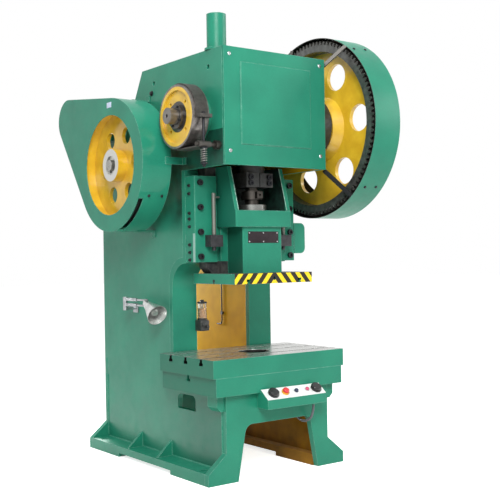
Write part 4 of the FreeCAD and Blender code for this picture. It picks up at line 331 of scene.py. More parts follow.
def slideEnamel():
    # the slide: enamel, hazard stripes on its flange, greased sliding faces, bare sole; painted
    # shade on its ledge, pocket, sides and slot ends, and a painted highlight with wear on the
    # pocket rim
    stripe = {"pitch": 83, "start": 73, "slope": 0.82, "share": 0.48, "foot": 1300}
    greasedAndShaded = {"shadedLedge": {"z": (1370.5, 1371.5)},
               "wing": {"x": (244, 400), "back": (355, 700), "z": (1371, 2200)},
               "foot": {"x": (172, 400), "back": (300, 700), "z": (1371, 1456)}}
    pocket = {"x": (-1, 208.5), "back": (157.6, 400.5), "z": (1700, 2109.6)}
    rim = {"x": (208.6, 215), "z": (1806, 2109)}
    sides = {"x": (169.5, 170.5), "z": (1372, 1690)}
    shadedShoulders = {"x": (241.5, 242.5), "z": (1690, 2111)}
    slot = {"ends": (334.5, 335.5), "middle": 270, "neck": (7, 1299, 1313),
            "head": (13, 1313, 1330)}
    finish = machineEnamel("enamel and stripes of the slide")
    material, tree, shader, place = finish
    start = -(stripe["foot"] * stripe["slope"] + stripe["start"]) / 1000
    rise = addNode(tree, "Math", {"operation": "MULTIPLY_ADD", 1: stripe["slope"], 2: start},
                   {0: along(tree, place, 2)}).outputs[0]
    run = both(tree, along(tree, place, 0, True), rise, "ADD")
    turns = addNode(tree, "Math", {"operation": "DIVIDE", 1: stripe["pitch"] / 1000}, {0: run})
    part = addNode(tree, "Math", {"operation": "WRAP", 1: 1, 2: 0}, {0: turns.outputs[0]})
    bright = addNode(tree, "Math", {"operation": "LESS_THAN", 1: stripe["share"]},
                     {0: part.outputs[0]}).outputs[0]
    overlayZone(finish, mixColour(tree, bright, "#2a2622", "#f0d22c"), back=(20, 24))
    # dark grease on the sliding faces; on the ledge atop the flange the same dark is painted shade
    # as well
    grease = mixColour(tree, grain(tree, place, 40, 0, 1, 3), "#26272a", "#4a4a47")
    for box in greasedAndShaded.values():
        overlayZone(finish, grease, **box)
    overlayZone(finish, "#a5a5a0", 1, z=(1299, 1300.5))
    # painted shade: the inside of the pocket is drawn near black
    pocketShade = mixColour(tree, grain(tree, place, 50, 0, 1, 4), "#191b1b", "#24443a")
    overlayZone(finish, pocketShade, **pocket)
    # painted highlight with wear: a pale strip along the sloped front edges of the pocket walls
    wornRimHighlight = both(tree, zone(tree, place, **rim), grain(tree, place, 35, 0.1, 1.3, 3))
    overlay(finish, wornRimHighlight, "#a9cdbf")
    # painted shade: the side faces and shoulders of the slide drawn darker green
    overlayZone(finish, "#155341", **sides)
    overlayZone(finish, "#1a6451", **shadedShoulders)
    # the slot across the sole, seen end on: its opening painted near black as shade
    for half, low, high in (slot["neck"], slot["head"]):
        overlayZone(finish, "#141917", x=slot["ends"], z=(low, high),
                    back=(slot["middle"] - half, slot["middle"] + half))
    return finish


def beltGuardFinish():
    # the fullest coat: a clear gloss over the enamel, that catches the lamps on the guard's curve
    finish = machineEnamel("glossy enamel of the belt guard", None, 0.12)
    finish[2].inputs["Coat Weight"].default_value = 0.3
    finish[2].inputs["Coat Roughness"].default_value = 0.07
    return finish


def bedFinish():
    # enamel, its two ends darkened by oil that runs off the bolster
    return overlayZone(machineEnamel("enamel of the bed"), enamel["oiled"], x=(541.5, 542.5))


def bolsterFinish():
    # planed casting: enamel on its sides, ground top, milled slots and hole painted dark at the
    # bottom as shade
    slot = {"from": (80, 267, 454), "wide": 46, "end": 561.5, "sunkShade": (600, 813)}
    hole = {"radius": 112.5, "back": 270}
    finish = machineEnamel("enamel and ground top of the bolster")
    material, tree, shader, place = finish
    reach = reachFrom(tree, place, spot(0, hole["back"], 0), 2)
    milled = within(tree, reach, -1, hole["radius"])
    for low in slot["from"]:
        band = zone(tree, place, back=(low, low + slot["wide"]))
        milled = both(tree, milled, band, "MAXIMUM")
    milled = both(tree, milled, zone(tree, place, x=(-1, slot["end"])))
    sunkShade = both(tree, milled, zone(tree, place, z=slot["sunkShade"]))
    bright = both(tree, zone(tree, place, z=(817.6, 900)), milled, "MAXIMUM")
    scratch = grain(tree, place, 2.4, 0, 1, 2, (0.06, 1, 1))
    steel = mixColour(tree, grain(tree, place, 110, 0, 1, 3, (0.3, 1, 1)), "#dadbd8", "#a9a9a5")
    faint = addNode(tree, "Math", {"operation": "MULTIPLY", 1: 0.35}, {0: scratch}).outputs[0]
    overlayZone(finish, enamel["oiled"], x=(561.5, 562.5))
    overlay(finish, bright, mixColour(tree, faint, steel, "#77756f"), 0.9)
    # painted shade: near black down in the slots and the hole
    overlay(finish, sunkShade, "#20211f", 0.5)
    rough = shader.inputs["Roughness"].links[0].from_socket
    ground = addNode(tree, "MapRange", {"To Min": 0.2, "To Max": 0.34},
                     {"Value": scratch}).outputs[0]
    mixed = addNode(tree, "Mix", {"data_type": "FLOAT"}, {0: bright, 2: rough, 3: ground})
    tree.links.new(mixed.outputs[0], shader.inputs["Roughness"])
    return finish


def guardFinish():
    # rolled sheet guard: enamel outside; inside painted near black and mottled as shade
    ring = {"big": 661.5, "small": 164.5, "inside": (575, 814.4), "rear": (574, 576)}
    finish = machineEnamel("enamel of the gear guard")
    material, tree, shader, place = finish
    big = within(tree, reachFrom(tree, place, middleOf["crank"]), -1, ring["big"])
    small = within(tree, reachFrom(tree, place, middleOf["shaft"]), -1, ring["small"])
    inside = both(tree, both(tree, big, small, "MAXIMUM"), zone(tree, place, x=ring["inside"]))
    inside = both(tree, inside, zone(tree, place, x=ring["rear"]), "MAXIMUM")
    # painted shade inside the guard
    overlay(finish, inside, mixColour(tree, grain(tree, place, 60, 0, 1, 4), "#1b1b1c", "#38362f"))
    return finish


def flywheelFinish():
    # yellow wheel, its hub end and the well in it faced bright, its rim worn dark
    hub = {"radius": 115.5, "x": (751.2, 753)}
    well = {"radius": 68.4, "x": (729.5, 753)}
    finish = yellowEnamel("yellow enamel of the flywheel")
    material, tree, shader, place = finish
    reach = reachFrom(tree, place, middleOf["shaft"])
    faced = [both(tree, within(tree, reach, -1, form["radius"]), zone(tree, place, x=form["x"]))
             for form in (hub, well)]
    overlay(finish, both(tree, *faced, "MAXIMUM"), "#c9c9c4", 0.85)
    return overlay(finish, within(tree, reach, 424, 460), "#2e2e2f", 0.6)


def drumFinish():
    # yellow disc, worn rim edge, greasy hub
    rim, hub = (199, 300), (-1, 104)
    finish = yellowEnamel("yellow enamel of the brake drum")
    material, tree, shader, place = finish
    reach = reachFrom(tree, place, middleOf["crank"])
    blotch = grain(tree, place, 30, 0, 1, 4)
    overlay(finish, within(tree, reach, *rim), mixColour(tree, blotch, "#8b8480", "#5d5956"), 0.7)
    overlay(finish, within(tree, reach, *hub), mixColour(tree, blotch, "#4d4843", "#2c2a28"), 0.6)
    return finish


def gearFinish():
    # cast gear: yellow enamel on web and boss, bare greased rim, darker teeth
    rim, teeth = (566, 700), (616, 700)
    finish = yellowEnamel("cast gear, painted web and greased teeth")
    material, tree, shader, place = finish
    reach = reachFrom(tree, place, middleOf["crank"])
    steel = mixColour(tree, grain(tree, place, 30, 0, 1, 4), "#5d5e5b", "#3c3c3a")
    grease = mixColour(tree, grain(tree, place, 12, 0, 1, 3), "#2b2b2a", "#55544f")
    overlay(finish, within(tree, reach, *rim), steel, 0.5)
    return overlay(finish, within(tree, reach, *teeth), grease)


def bushFinish():
    # bored bronze, its flange painted over with the cheek
    finish = groundSteel("bored bronze", "#b08a4a", 1.2, (4, 1, 1))
    material, tree, shader, place = finish
    outside = within(tree, reachFrom(tree, place, middleOf["crank"]), 98, 200)
    flange = both(tree, zone(tree, place, x=(440.3, 470)), outside)
    return overlay(finish, flange, enamel["shade"], 0)


def gibFinish():
    # enamel with a bright scraped edge where the gib stands proud of the cheek
    edge = {"x": (436.2, 440), "back": (330, 366), "z": (1440, 1650)}
    return overlayZone(machineEnamel("enamel of the gibs"), "#8fb3a8", **edge)


def panelFinish():
    # powder-coated plate with black, yellow and plated collars round its buttons
    panel = {"out": (0, -0.609711, 0.792624), "proud": (1008.2, 1100),
             "collars": (((-110, -92.2, 574), 41, "#1b1c1e"), ((262, -92.2, 574), 41, "#1b1c1e"),
                         ((-8, -89.1, 570.7), 28, "#e0a21c"), ((88, -81.9, 563), 17, "#3a4152"),
                         ((183, -81.9, 563), 17, "#b9bcc0"))}
    out = Vector(panel["out"])
    finish = mouldedPlastic("powder-coated panel", "#eceeec", 0.4, 0.015)
    material, tree, shader, place = finish
    rise = addNode(tree, "VectorMath", {"operation": "DOT_PRODUCT", 1: out}, {0: place})
    proud = within(tree, rise.outputs["Value"], *panel["proud"])
    for at, radius, colour in panel["collars"]:
        away = addNode(tree, "VectorMath", {"operation": "SUBTRACT", 1: spot(*at)}, {0: place})
        cross = addNode(tree, "VectorMath", {"operation": "CROSS_PRODUCT", 1: out},
                        {0: away.outputs[0]})
        reach = addNode(tree, "VectorMath", {"operation": "LENGTH"}, {0: cross.outputs[0]})
        collar = within(tree, reach.outputs["Value"], -1, radius)
        overlay(finish, both(tree, proud, collar), colour)
    return finish


def ribbedSheath():
    # plastic-coated spiral conduit: ribs 4 mm apart along its length, coloured darker in the
    # troughs and lighter on the crests
    ribs = 140
    finish = startFinish("ribbed conduit", "#565b60", IOR=1.5, Roughness=0.38)
    material, tree, shader, place = finish
    run = along(tree, addNode(tree, "TexCoord").outputs["UV"], 0)
    wave = addNode(tree, "Math", {"operation": "MULTIPLY", 1: ribs * math.tau}, {0: run}).outputs[0]
    rib = addNode(tree, "Math", {"operation": "SINE"}, {0: wave}).outputs[0]
    tone = addNode(tree, "MapRange", {"From Min": -1}, {"Value": rib}).outputs[0]
    # painted shade in the rib troughs and painted highlight on the crests
    tree.links.new(mixColour(tree, tone, "#33363a", "#74797e"), shader.inputs["Base Color"])
    bumps(tree, shader, tone, 0.8)
    return finish


green = machineEnamel("machine enamel")
motorGreen = machineEnamel("enamel of the motor")
turnedSteel = groundSteel("turned bright steel", "#aaa9a4", 1.5, (4, 1, 1), 0.28)
greasedSteel = groundSteel("greased turned steel", "#4d4945", 1.5, (1, 1, 4), 0.35)
paleSteel = groundSteel("wiped turned steel", "#8d8f8b", 1.5, (1, 1, 4), 0.3)
oilySteel = groundSteel("oily turned steel", "#8c8883", 1.5, (4, 1, 1), 0.34)
springSteel = groundSteel("oiled spring wire", "#8a8a85", 2, (1, 1, 1), 0.35)
zinc = groundSteel("zinc plated steel", "#b5b8ba", 2, (1, 1, 1), 0.3)
aluminium = groundSteel("spun aluminium", "#e6e7e5", 3, (1, 4, 1), 0.26)
barePlate = groundSteel("bare etched plate", "#3a3336", 2, (0.1, 1, 1), 0.55)
darkIron = castIron("greased cast iron", "#3a3b3a")
blackOxide = castIron("black oxide steel", "#26272a", 0.42, 0.8)
blackPlastic = mouldedPlastic("black moulded caps", "#17181a", 0.16)

# where the primer shows: the inner faces of the cheeks and feet, the backs of the cross plates
primed = {"cheek": {"x": (399, 400.4)}, "foot": {"x": (300, 399.9)},
          "flange": {"x": (-1, 401), "back": (680.6, 700)},
          "frontLeg": {"x": (-1, 401), "back": (44.6, 46)},
          "backLeg": {"x": (-1, 401), "back": (1624, 1625.4)}}

finishOf = {
    "left_cheek": shadowedCheek(),
    "right_cheek": machineEnamel("enamel outside, primer inside right", primed["cheek"], 0.15),
    "left_throat_flange": machineEnamel("enamel in front, primer behind", primed["flange"]),
    "front_leg_plate": machineEnamel("leg plate enamel and primer", primed["frontLeg"]),
    "back_leg_plate": machineEnamel("back plate enamel and primer", primed["backLeg"]),
    "left_foot": machineEnamel("foot enamel, primer within left", primed["foot"]),
    "right_foot": machineEnamel("foot enamel, primer within right", primed["foot"]),
    "bed_plate": bedFinish(), "bolster_plate": bolsterFinish(),
    "slide": slideEnamel(), "left_gib": gibFinish(),
    "main_gear": gearFinish(), "gear_guard": guardFinish(),
    "flywheel": flywheelFinish(), "belt_guard": beltGuardFinish(),
    "drive_belts": rubberFinish("belt rubber", "#1c1d1f", 3), "motor": motorGreen,
    "crankshaft": oilySteel, "drive_shaft": turnedSteel, "motor_pulley": turnedSteel,
    "crank_bushes": bushFinish(), "adjusting_screw": greasedSteel, "ball_retainer": paleSteel,
    "brake_drum": drumFinish(), "brake_band": castIron("lined brake band", "#3d3b38"),
    "brake_anchor": greasedSteel, "brake_spring": springSteel, "lube_pipe": darkIron,
    "guard_stays": overlayZone(castIron("black steel stays", "#1f2022"), "#5b5955", 0.6,
                               z=(2460, 3200)),
    "knockout_stops": overlayZone(castIron("black stop blocks", "#333335"), "#74766f", 0.6,
                                  z=(1640, 2000)),
    "control_panel": panelFinish(),
    "palm_button_left": blackPlastic, "palm_button_right": blackPlastic,
    "run_button": mouldedPlastic("dark blue cap", "#2b3554", 0.16),
    "emergency_stop": mouldedPlastic("red moulded cap", "#d8343a", 0.22),
    "inch_button": mouldedPlastic("clear red cap", "#cf4f72", 0.2),
    "lamp_base": zinc, "lamp_arm": zinc, "lamp_shade": aluminium}
finishOf["right_throat_flange"] = finishOf["left_throat_flange"]
finishOf["right_gib"] = finishOf["left_gib"]
for names, finish in (
        (("connecting_rod", "rod_cap", "pinion", "clutch_housing", "shaft_bearings"), darkIron),
        (("gib_bolts", "rod_bolts", "shank_screw", "brake_rod"), blackOxide)):
    finishOf.update({name: finish for name in names})
for name, node in nodes.items():
    for holder in node.material_slots:
        holder.material = finishOf.get(name, green)[0]
print("finishes given to", len(nodes), "nodes")


def addPiece(name, shape, finish, body, angle=35):
    mesh = bpy.data.meshes.new(name)
    bmesh.ops.recalc_face_normals(shape, faces=shape.faces)
    shape.to_mesh(mesh)
    shape.free()
    mesh.polygons.foreach_set("use_smooth", [True] * len(mesh.polygons))
    mesh.set_sharp_from_angle(angle=math.radians(angle))
    mesh.materials.append(finish[0])
    piece = bpy.data.objects.new(name, mesh)
    bpy.context.collection.objects.link(piece)
    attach(piece, body)
    return piece


def stand(shape, place, axis):
    # moves a shape drawn in mm along Z to its place, turned to its axis
    turn = Vector((0, 0, 1)).rotation_difference(Vector(axis)).to_matrix().to_4x4()
    bmesh.ops.transform(shape, matrix=Matrix.Translation(place) @ turn @ Matrix.Scale(0.001, 4),
                        verts=shape.verts)
    return shape


def turned(profile, place, axis, segments=32):
    # a closed turned piece from (radius, along) points in mm
    shape = bmesh.new()
    points = [shape.verts.new((max(r, 0), 0, a)) for r, a in profile]
    edges = [shape.edges.new(pair) for pair in zip(points, points[1:])]
    bmesh.ops.spin(shape, geom=points + edges, cent=(0, 0, 0), axis=(0, 0, 1),
                   angle=math.tau, steps=segments, use_merge=True)
    bmesh.ops.remove_doubles(shape, verts=shape.verts, dist=0.001)
    return stand(shape, place, axis)


def slab(low, high, edge, segments=2):
    # a plate between two corners in machine mm, its edges rounded
    shape = bmesh.new()
    bmesh.ops.create_cube(shape, size=1)
    size = spot(*high) - spot(*low)
    middle = (spot(*high) + spot(*low)) / 2
    bmesh.ops.transform(shape, matrix=Matrix.Translation(middle) @ Matrix.Diagonal((*size, 1)),
                        verts=shape.verts)
    bmesh.ops.bevel(shape, geom=shape.edges[:], offset=edge / 1000, affect="EDGES",
                    segments=segments, profile=0.5, material=-1)
    return shape


def joined(shapes):
    # several bmeshes made one
    whole = bmesh.new()
    for shape in shapes:
        keep = bpy.data.meshes.new("keep")
        shape.to_mesh(keep)
        shape.free()
        whole.from_mesh(keep)
        bpy.data.meshes.remove(keep)
    return whole


def hexHead(place, axis, across, height, washer=0):
    # hexagon head with a chamfered top, on a washer
    shape = bmesh.new()
    radius = across / 2 / math.cos(math.pi / 6)
    bmesh.ops.create_cone(shape, cap_ends=True, segments=6, radius1=radius, radius2=radius,
                          depth=height)
    bmesh.ops.translate(shape, vec=(0, 0, height / 2), verts=shape.verts)
    top = [e for e in shape.edges if all(v.co.z > height * 0.9 for v in e.verts)]
    bmesh.ops.bevel(shape, geom=top, offset=height * 0.14, affect="EDGES", segments=2,
                    profile=0.5, material=-1)
    stand(shape, place, axis)
    if washer:
        ring = turned([(0, -1), (washer, -1), (washer, 1.6), (washer * 0.9, 2.4), (0, 2.4)],
                      place, axis)
        shape = joined([shape, ring])
    return shape


def roundScrew(place, axis, radius, height):
    # low domed head
    return turned([(0, -2), (radius, -2), (radius, height * 0.3), (radius * 0.8, height * 0.75),
                   (radius * 0.45, height), (0, height * 1.04)], place, axis, 20)


def setScrew(place, axis, radius):
    # hollow end of a screw that stands out of its lock nut
    return turned([(0, -3), (radius * 1.5, -3), (radius * 1.5, 2), (radius * 1.3, 4),
                   (radius, 4), (radius * 0.9, 12), (radius * 0.4, 12), (radius * 0.4, 7),
                   (0, 7)], place, axis, 18)


def boltRing(name, middle, axis, reach, count, size, body, turn):
    # hexagon bolts in a ring round an X axis; size is across flats, height and washer
    heads = []
    for i in range(count):
        a = math.tau * (i + turn) / count
        at = middle + Vector((0, math.cos(a), math.sin(a))) * reach / 1000
        heads.append(hexHead(at, axis, *size))
    return addPiece(name, joined(heads), blackOxide, body)


def springCoil(start, axis, radius, wire, pitch, turns):
    # a wire circle spun along a helix
    shape = bmesh.new()
    made = bmesh.ops.create_circle(shape, cap_ends=False, radius=wire, segments=8)
    turn = Matrix.Rotation(math.pi / 2, 4, "X")
    bmesh.ops.transform(shape, matrix=Matrix.Translation((radius, 0, 0)) @ turn,
                        verts=made["verts"])
    steps = int(20 * turns)
    bmesh.ops.spin(shape, geom=shape.verts[:] + shape.edges[:], cent=(0, 0, 0), axis=(0, 0, 1),
                   dvec=(0, 0, pitch * turns / steps), angle=math.tau * turns, steps=steps,
                   use_merge=False)
    ends = [edge for edge in shape.edges if edge.is_boundary]
    bmesh.ops.holes_fill(shape, edges=ends, sides=8)
    return stand(shape, start, axis)


def weld(start, end, size=8, ripple=9, waist=0.82):
    # a fillet weld laid as overlapping ripples along a joint, half sunk in the corner
    shape = bmesh.new()
    run = (end - start) * 1000
    steps = max(2, int(run.length / ripple))
    bmesh.ops.create_cone(shape, cap_ends=True, segments=8, radius1=size, radius2=size,
                          depth=run.length)
    bmesh.ops.translate(shape, vec=(0, 0, run.length / 2), verts=shape.verts)
    for i in range(1, steps):
        bmesh.ops.bisect_plane(shape, geom=shape.verts[:] + shape.edges[:] + shape.faces[:],
                               plane_co=(0, 0, run.length * i / steps), plane_no=(0, 0, 1))
    for vert in shape.verts:
        ring = round(vert.co.z / run.length * steps)
        if ring % 2:
            vert.co.x *= waist
            vert.co.y *= waist
    return stand(shape, start, run.normalized())


# bare nameplate with its rivets on the slide
plate = {"left": -129, "right": 137, "low": 1578, "high": 1658, "face": 147, "proud": 1.6,
         "rivet": 5, "middle": 4, "inset": 12, "row": 10}
plateFace, rivet = plate["face"] - plate["proud"], plate["rivet"]
addPiece("slide_nameplate", slab((plate["left"], plateFace, plate["low"]),
                                 (plate["right"], plate["face"] + 0.2, plate["high"]), 1.2),
         barePlate, "slide")
dome = [(0, -1), (rivet, -1), (rivet, 0.6), (rivet * 0.6, 2.2), (0, 2.6)]
rivets = [turned(dome, spot(x, plateFace, z), (0, -1, 0), 16)
          for x in (plate["left"] + plate["inset"], plate["middle"],
                    plate["right"] - plate["inset"])
          for z in (plate["low"] + plate["row"], plate["high"] - plate["row"])]
addPiece("nameplate_rivets", joined(rivets), zinc, "slide")

# heel of each cheek, behind the bed, where the side plate runs straight down to the base
heel = {"inner": 400, "outer": 440, "front": 1625, "back": 1670, "low": 576, "high": 698}
heels = []
for side in (-1, 1):
    left, right = sorted((side * heel["inner"], side * heel["outer"]))
    heels.append(slab((left, heel["front"], heel["low"]), (right, heel["back"], heel["high"]), 0.2))
addPiece("cheek_heels", joined(heels), green, "frame")

# round-headed screws of the front cover
cover = {"half": 440, "inset": 50, "low": 2184, "high": 2821, "face": -28, "head": 13, "tall": 7}
screws = [roundScrew(spot(x, cover["face"], z), (0, -1, 0), cover["head"], cover["tall"])
          for x in (cover["inset"] - cover["half"], cover["half"] - cover["inset"])
          for z in (cover["low"], cover["high"])]
addPiece("cover_screws", joined(screws), zinc, "frame")

# set screws that adjust the gibs, in the side of each
gibSide = {"side": 440, "back": 402, "screw": 8,
           "left": (1981, 1925, 1790, 1750, 1697, 1572, 1519, 1467),
           "right": (1981, 1925, 1618, 1587)}
for name, side in (("left", -1), ("right", 1)):
    screws = [setScrew(spot(side * gibSide["side"], gibSide["back"], z), (side, 0, 0),
                       gibSide["screw"]) for z in gibSide[name]]
    addPiece(name + "_gib_set_screws", joined(screws), blackOxide, "frame")
print("screws done")

# bolts round the bushes, the bearings and the two hubs
bolts = {"bush": {"x": 462, "reach": 143, "size": (19, 10, 13)},
         "bearing": {"x": 458, "reach": 80, "size": (17, 9, 12)},
         "flywheel": {"x": -730, "reach": 54, "size": (14, 7)},
         "drum": {"x": -628, "reach": 68, "size": (15, 8)}}
for name, side in (("left", -1), ("right", 1)):
    for part, axle, count in (("bush", "crank", 8), ("bearing", "shaft", 6)):
        bolt = bolts[part]
        boltRing(f"{name}_{part}_bolts", spot(side * bolt["x"], *axles[axle]), (side, 0, 0),
                 bolt["reach"], count, bolt["size"], "frame", 0.5)
for part, axle, piece, body, turn in (("flywheel", "shaft", "flywheel_lock_screws", "shaft", 0.37),
                                      ("drum", "crank", "drum_screws", "crank", 0.3)):
    bolt = bolts[part]
    boltRing(piece, spot(bolt["x"], *axles[axle]), (-1, 0, 0), bolt["reach"], 4, bolt["size"],
             body, turn)

# small screws that hold the two sheet guards, as x and angle on each guard's curve
guards = {"belt_guard_screws": (middleOf["shaft"], 478, ((-679, 210.4), (-577, 210.3))),
          "gear_guard_screws": (middleOf["crank"], 665,
                                ((627, 127.6), (747, 126.3), (643, 224), (747, 223.6)))}
for name, (middle, reach, places) in guards.items():
    heads = []
    for x, turn in places:
        a = math.radians(turn)
        out = Vector((0, math.cos(a), math.sin(a)))
        at = middle + Vector((x, 0, 0)) / 1000 + out * reach / 1000
        heads.append(hexHead(at, out, 16, 7, 11))
    addPiece(name, joined(heads), blackOxide, "frame")

# the belt guard's bare label, and a bolt high on the cheek
label = {"back": 937, "high": 2584, "long": 68, "tall": 38, "face": -763, "thick": 0.6}
long, tall = label["long"] / 2, label["tall"] / 2
sticker = slab((label["face"] - label["thick"], label["back"] - long, label["high"] - tall),
               (label["face"] + 0.2, label["back"] + long, label["high"] + tall), 0.25)
labelWhite = mouldedPlastic("bare vinyl label", "#c6d2ea", 0.3, 0.02)
addPiece("guard_label", sticker, labelWhite, "frame")
addPiece("cheek_bolt", hexHead(spot(-440, 882, 2688), (-1, 0, 0), 24, 14, 20), blackOxide,
         "frame")
print("bolts and label done")

# lubricator: oil glass between black caps on a block with two knobs
oiler = {"x": -215, "back": 600, "low": 956, "deck": 1032, "top": 1165, "cap": 36, "glass": 33,
         "wall": 3, "oil": 1118, "half": 36, "wallBack": 641, "neck": 14,
         "stems": ((-24, -8), (24, -8), (0, 22)), "knobs": ((-17, 1002), (16, 984))}
foot = spot(oiler["x"], oiler["back"], 0)
up = (0, 0, 1)
deck, top, cap, glass, neck = (oiler[key] for key in ("deck", "top", "cap", "glass", "neck"))
bore = glass - oiler["wall"]
caps = [turned([(0, deck), (cap, deck), (cap, deck + 12), (cap - 3, deck + 14), (0, deck + 14)],
               foot, up),
        turned([(0, top - 14), (cap - 3, top - 14), (cap, top - 12), (cap, top - 2),
                (cap - 4, top), (neck, top), (neck, top + 11), (neck - 3, top + 14), (0, top + 14)],
               foot, up)]
lubeCaps = addPiece("lubricator_caps", joined(caps), blackPlastic, "frame")
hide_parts("lubricator")
pane = turned([(glass, deck + 14), (glass, top - 14), (bore, top - 14), (bore, deck + 14),
               (glass, deck + 14)], foot, up)
addPiece("lubricator_glass", pane, clearFinish("acrylic oil glass", "#f2f0e4"), "frame")
fill = turned([(0, deck + 14.2), (glass - 4, deck + 14.2), (glass - 4, oiler["oil"]),
               (0, oiler["oil"])], foot, up)
addPiece("lubricator_oil", fill, clearFinish("amber machine oil", "#c98a2c", 0.05, 0.5), "frame")
rod = [(0, deck + 13), (2.5, deck + 13), (2.5, top - 13), (0, top - 13)]
stems = [turned(rod, foot + Vector((x, y, 0)) / 1000, up, 12) for x, y in oiler["stems"]]
stems.append(turned([(0, oiler["oil"]), (5, oiler["oil"]), (5, top - 13), (0, top - 13)],
                    foot, up, 16))
addPiece("lubricator_stems", joined(stems), zinc, "frame")
oilerFace = oiler["back"] - oiler["half"]
block = slab((oiler["x"] - oiler["half"], oilerFace, oiler["low"]),
             (oiler["x"] + oiler["half"], oiler["wallBack"], deck), 4)
knobs = [turned([(0, 0), (7, 0), (7, 5), (12, 6), (13, 9), (12, 15), (0, 17)],
                spot(oiler["x"] + x, oilerFace, z), (0, -1, 0), 24) for x, z in oiler["knobs"]]
addPiece("lubricator_block", joined([block] + knobs), darkIron, "frame")
print("lubricator done")

# springs that balance the lamp arm
lampArm = {"x": -535, "from": 1128, "length": 150, "high": 1180, "low": 1140, "coil": 11,
           "wire": 1.8, "pitch": 5}
coils = [springCoil(spot(lampArm["x"], lampArm["from"], z), (0, -1, 0), lampArm["coil"],
                    lampArm["wire"], lampArm["pitch"], lampArm["length"] / lampArm["pitch"])
         for z in (lampArm["high"], lampArm["low"])]
addPiece("lamp_springs", joined(coils), zinc, "lamp_arm")

# cooling ribs of the motor, left out round its terminal box and its foot
motor = {"back": 1608, "high": 2550, "from": -425, "to": -75, "root": 124, "tip": 138, "thick": 5,
         "count": 36, "bare": ((55, 125), (235, 305))}
ribs = bmesh.new()
for i in range(motor["count"]):
    a = 360 * i / motor["count"]
    if any(low < a < high for low, high in motor["bare"]):
        continue
    rib = bmesh.ops.create_cube(ribs, size=1)["verts"]
    size = Matrix.Diagonal((motor["to"] - motor["from"], motor["tip"] - motor["root"],
                            motor["thick"], 1))
    place = Matrix.Translation(((motor["from"] + motor["to"]) / 2,
                                (motor["tip"] + motor["root"]) / 2, 0))
    turn = Matrix.Rotation(math.radians(a), 4, "X")
    bmesh.ops.transform(ribs, matrix=turn @ place @ size, verts=rib)
bmesh.ops.bevel(ribs, geom=ribs.edges[:], offset=1, affect="EDGES", segments=1, profile=0.5,
                material=-1)
stand(ribs, spot(0, motor["back"], motor["high"]), up)
addPiece("motor_ribs", ribs, motorGreen, "frame")
print("lamp springs and motor ribs done")

# weld seams along the feet, the leg plates and the ribs of the feet
seam = {"side": 440, "foot": (60, 1610, 78), "legs": (45, 1625), "leg": (90, 570),
        "ribs": (684, 1100), "rib": (84, 184), "half": 11}
seams = []
for side in (-1, 1):
    x = side * seam["side"]
    near, far, low = seam["foot"]
    seams.append(weld(spot(x, near, low), spot(x, far, low)))
    for back in seam["legs"]:
        low, high = seam["leg"]
        seams.append(weld(spot(x, back, low), spot(x, back, high), 7))
    for back in seam["ribs"]:
        for edge in (-seam["half"], seam["half"]):
            low, high = seam["rib"]
            seams.append(weld(spot(x, back + edge, low), spot(x, back + edge, high), 5))
addPiece("frame_welds", joined(seams), green, "frame")
print("welds done")

conduit = {"x": 258, "near": -62, "far": 138, "box": 470, "deck": 636, "radius": 9}


def conduitPoints():
    x, near, far, low, high = (conduit[key] for key in ("x", "near", "far", "box", "deck"))
    return [spot(*p) for p in (
        (x, near, low - 2), (x, near, low - 83), (x - 5, near + 59, low - 141),
        (x - 11, near + 141, low - 143), (x - 8, far - 1, low - 84), (x - 3, far - 4, low - 2),
        (x, far, low + 80), (x, far, high - 2))]


def routeCurve(name, points, radius):
    curve = bpy.data.curves.new(name, "CURVE")
    curve.dimensions = "3D"
    curve.resolution_u = 24
    line = curve.splines.new("NURBS")
    line.points.add(len(points) - 1)
    for point, at in zip(line.points, points):
        point.co = (*at, 1)
    line.order_u = 3
    line.use_endpoint_u = True
    curve.bevel_depth = radius
    curve.bevel_resolution = 8
    curve.use_fill_caps = True
    return curve


route = routeCurve("conduit_sheath", conduitPoints(), conduit["radius"] / 1000)
sheath = bpy.data.objects.new("conduit_sheath", route)
bpy.context.collection.objects.link(sheath)
sheath.data.materials.append(ribbedSheath()[0])
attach(sheath, "frame")
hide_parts("conduit")
print("conduit laid")

studio = {"floor": "#f4f4f2", "glow": 0.75, "reach": 40, "drop": 0.001, "sky": (0.32, 1)}


def seenItself(tree):
    # 1 for rays that show the floor or the sky itself: from the camera, reflected, or through glass
    ray = addNode(tree, "LightPath").outputs
    seen = both(tree, ray["Is Camera Ray"], ray["Is Glossy Ray"], "MAXIMUM")
    return both(tree, seen, ray["Is Transmission Ray"], "MAXIMUM")


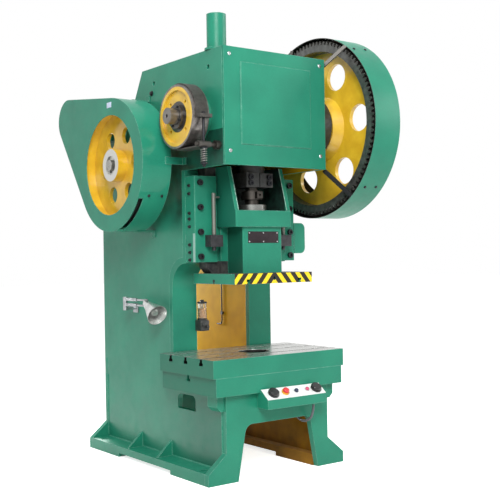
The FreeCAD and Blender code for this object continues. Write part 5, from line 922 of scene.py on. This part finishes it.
def paleFloor():
    # matt painted board that fades into the white behind it
    material, tree, shader, place = startFinish("pale studio floor", studio["floor"], Roughness=0.9)
    glow = addNode(tree, "Math", {"operation": "MULTIPLY", 1: studio["glow"]},
                   {0: seenItself(tree)})
    shader.inputs["Emission Color"].default_value = (1, 1, 1, 1)
    tree.links.new(glow.outputs[0], shader.inputs["Emission Strength"])
    return material


shape = bmesh.new()
bmesh.ops.create_grid(shape, x_segments=1, y_segments=1, size=studio["reach"])
bmesh.ops.translate(shape, vec=(0, 0, -studio["drop"]), verts=shape.verts)
mesh = bpy.data.meshes.new("floor")
shape.to_mesh(mesh)
shape.free()
mesh.materials.append(paleFloor())
floor = bpy.data.objects.new("floor", mesh)
bpy.context.collection.objects.link(floor)

world = bpy.data.worlds.new("studio")
bpy.context.scene.world = world
world.use_nodes = True
tree = world.node_tree
dim, full = studio["sky"]
level = addNode(tree, "MapRange", {"To Min": dim, "To Max": full}, {"Value": seenItself(tree)})
tree.nodes["Background"].inputs["Color"].default_value = (1, 1, 1, 1)
tree.links.new(level.outputs[0], tree.nodes["Background"].inputs["Strength"])

lamps = {"key": {"at": (-3500, -5200, 5200), "size": 3.5, "power": 460, "aim": (0, 0, 1400)},
         "side": {"at": (5200, -3200, 3600), "size": 3, "power": 150, "aim": (0, 0, 1400)},
         "top": {"at": (-800, 400, 7000), "size": 4, "power": 150, "aim": (0, 0, 1400)},
         "back": {"at": (120, 2300, 1350), "size": 0.8, "power": 60, "aim": (400, 200, 1100)}}
for name, lamp in lamps.items():
    light = bpy.data.lights.new(name, "AREA")
    light.shape = "DISK"
    light.size = lamp["size"]
    light.energy = lamp["power"]
    place = Vector(lamp["at"]) / 1000
    aim = Vector(lamp["aim"]) / 1000 - place
    holder = bpy.data.objects.new(name, light)
    turn = aim.to_track_quat("-Z", "Y").to_matrix().to_4x4()
    holder.matrix_world = Matrix.Translation(place) @ turn
    bpy.context.collection.objects.link(holder)

scene = bpy.context.scene
scene.view_settings.view_transform = "Standard"
print("studio lit")
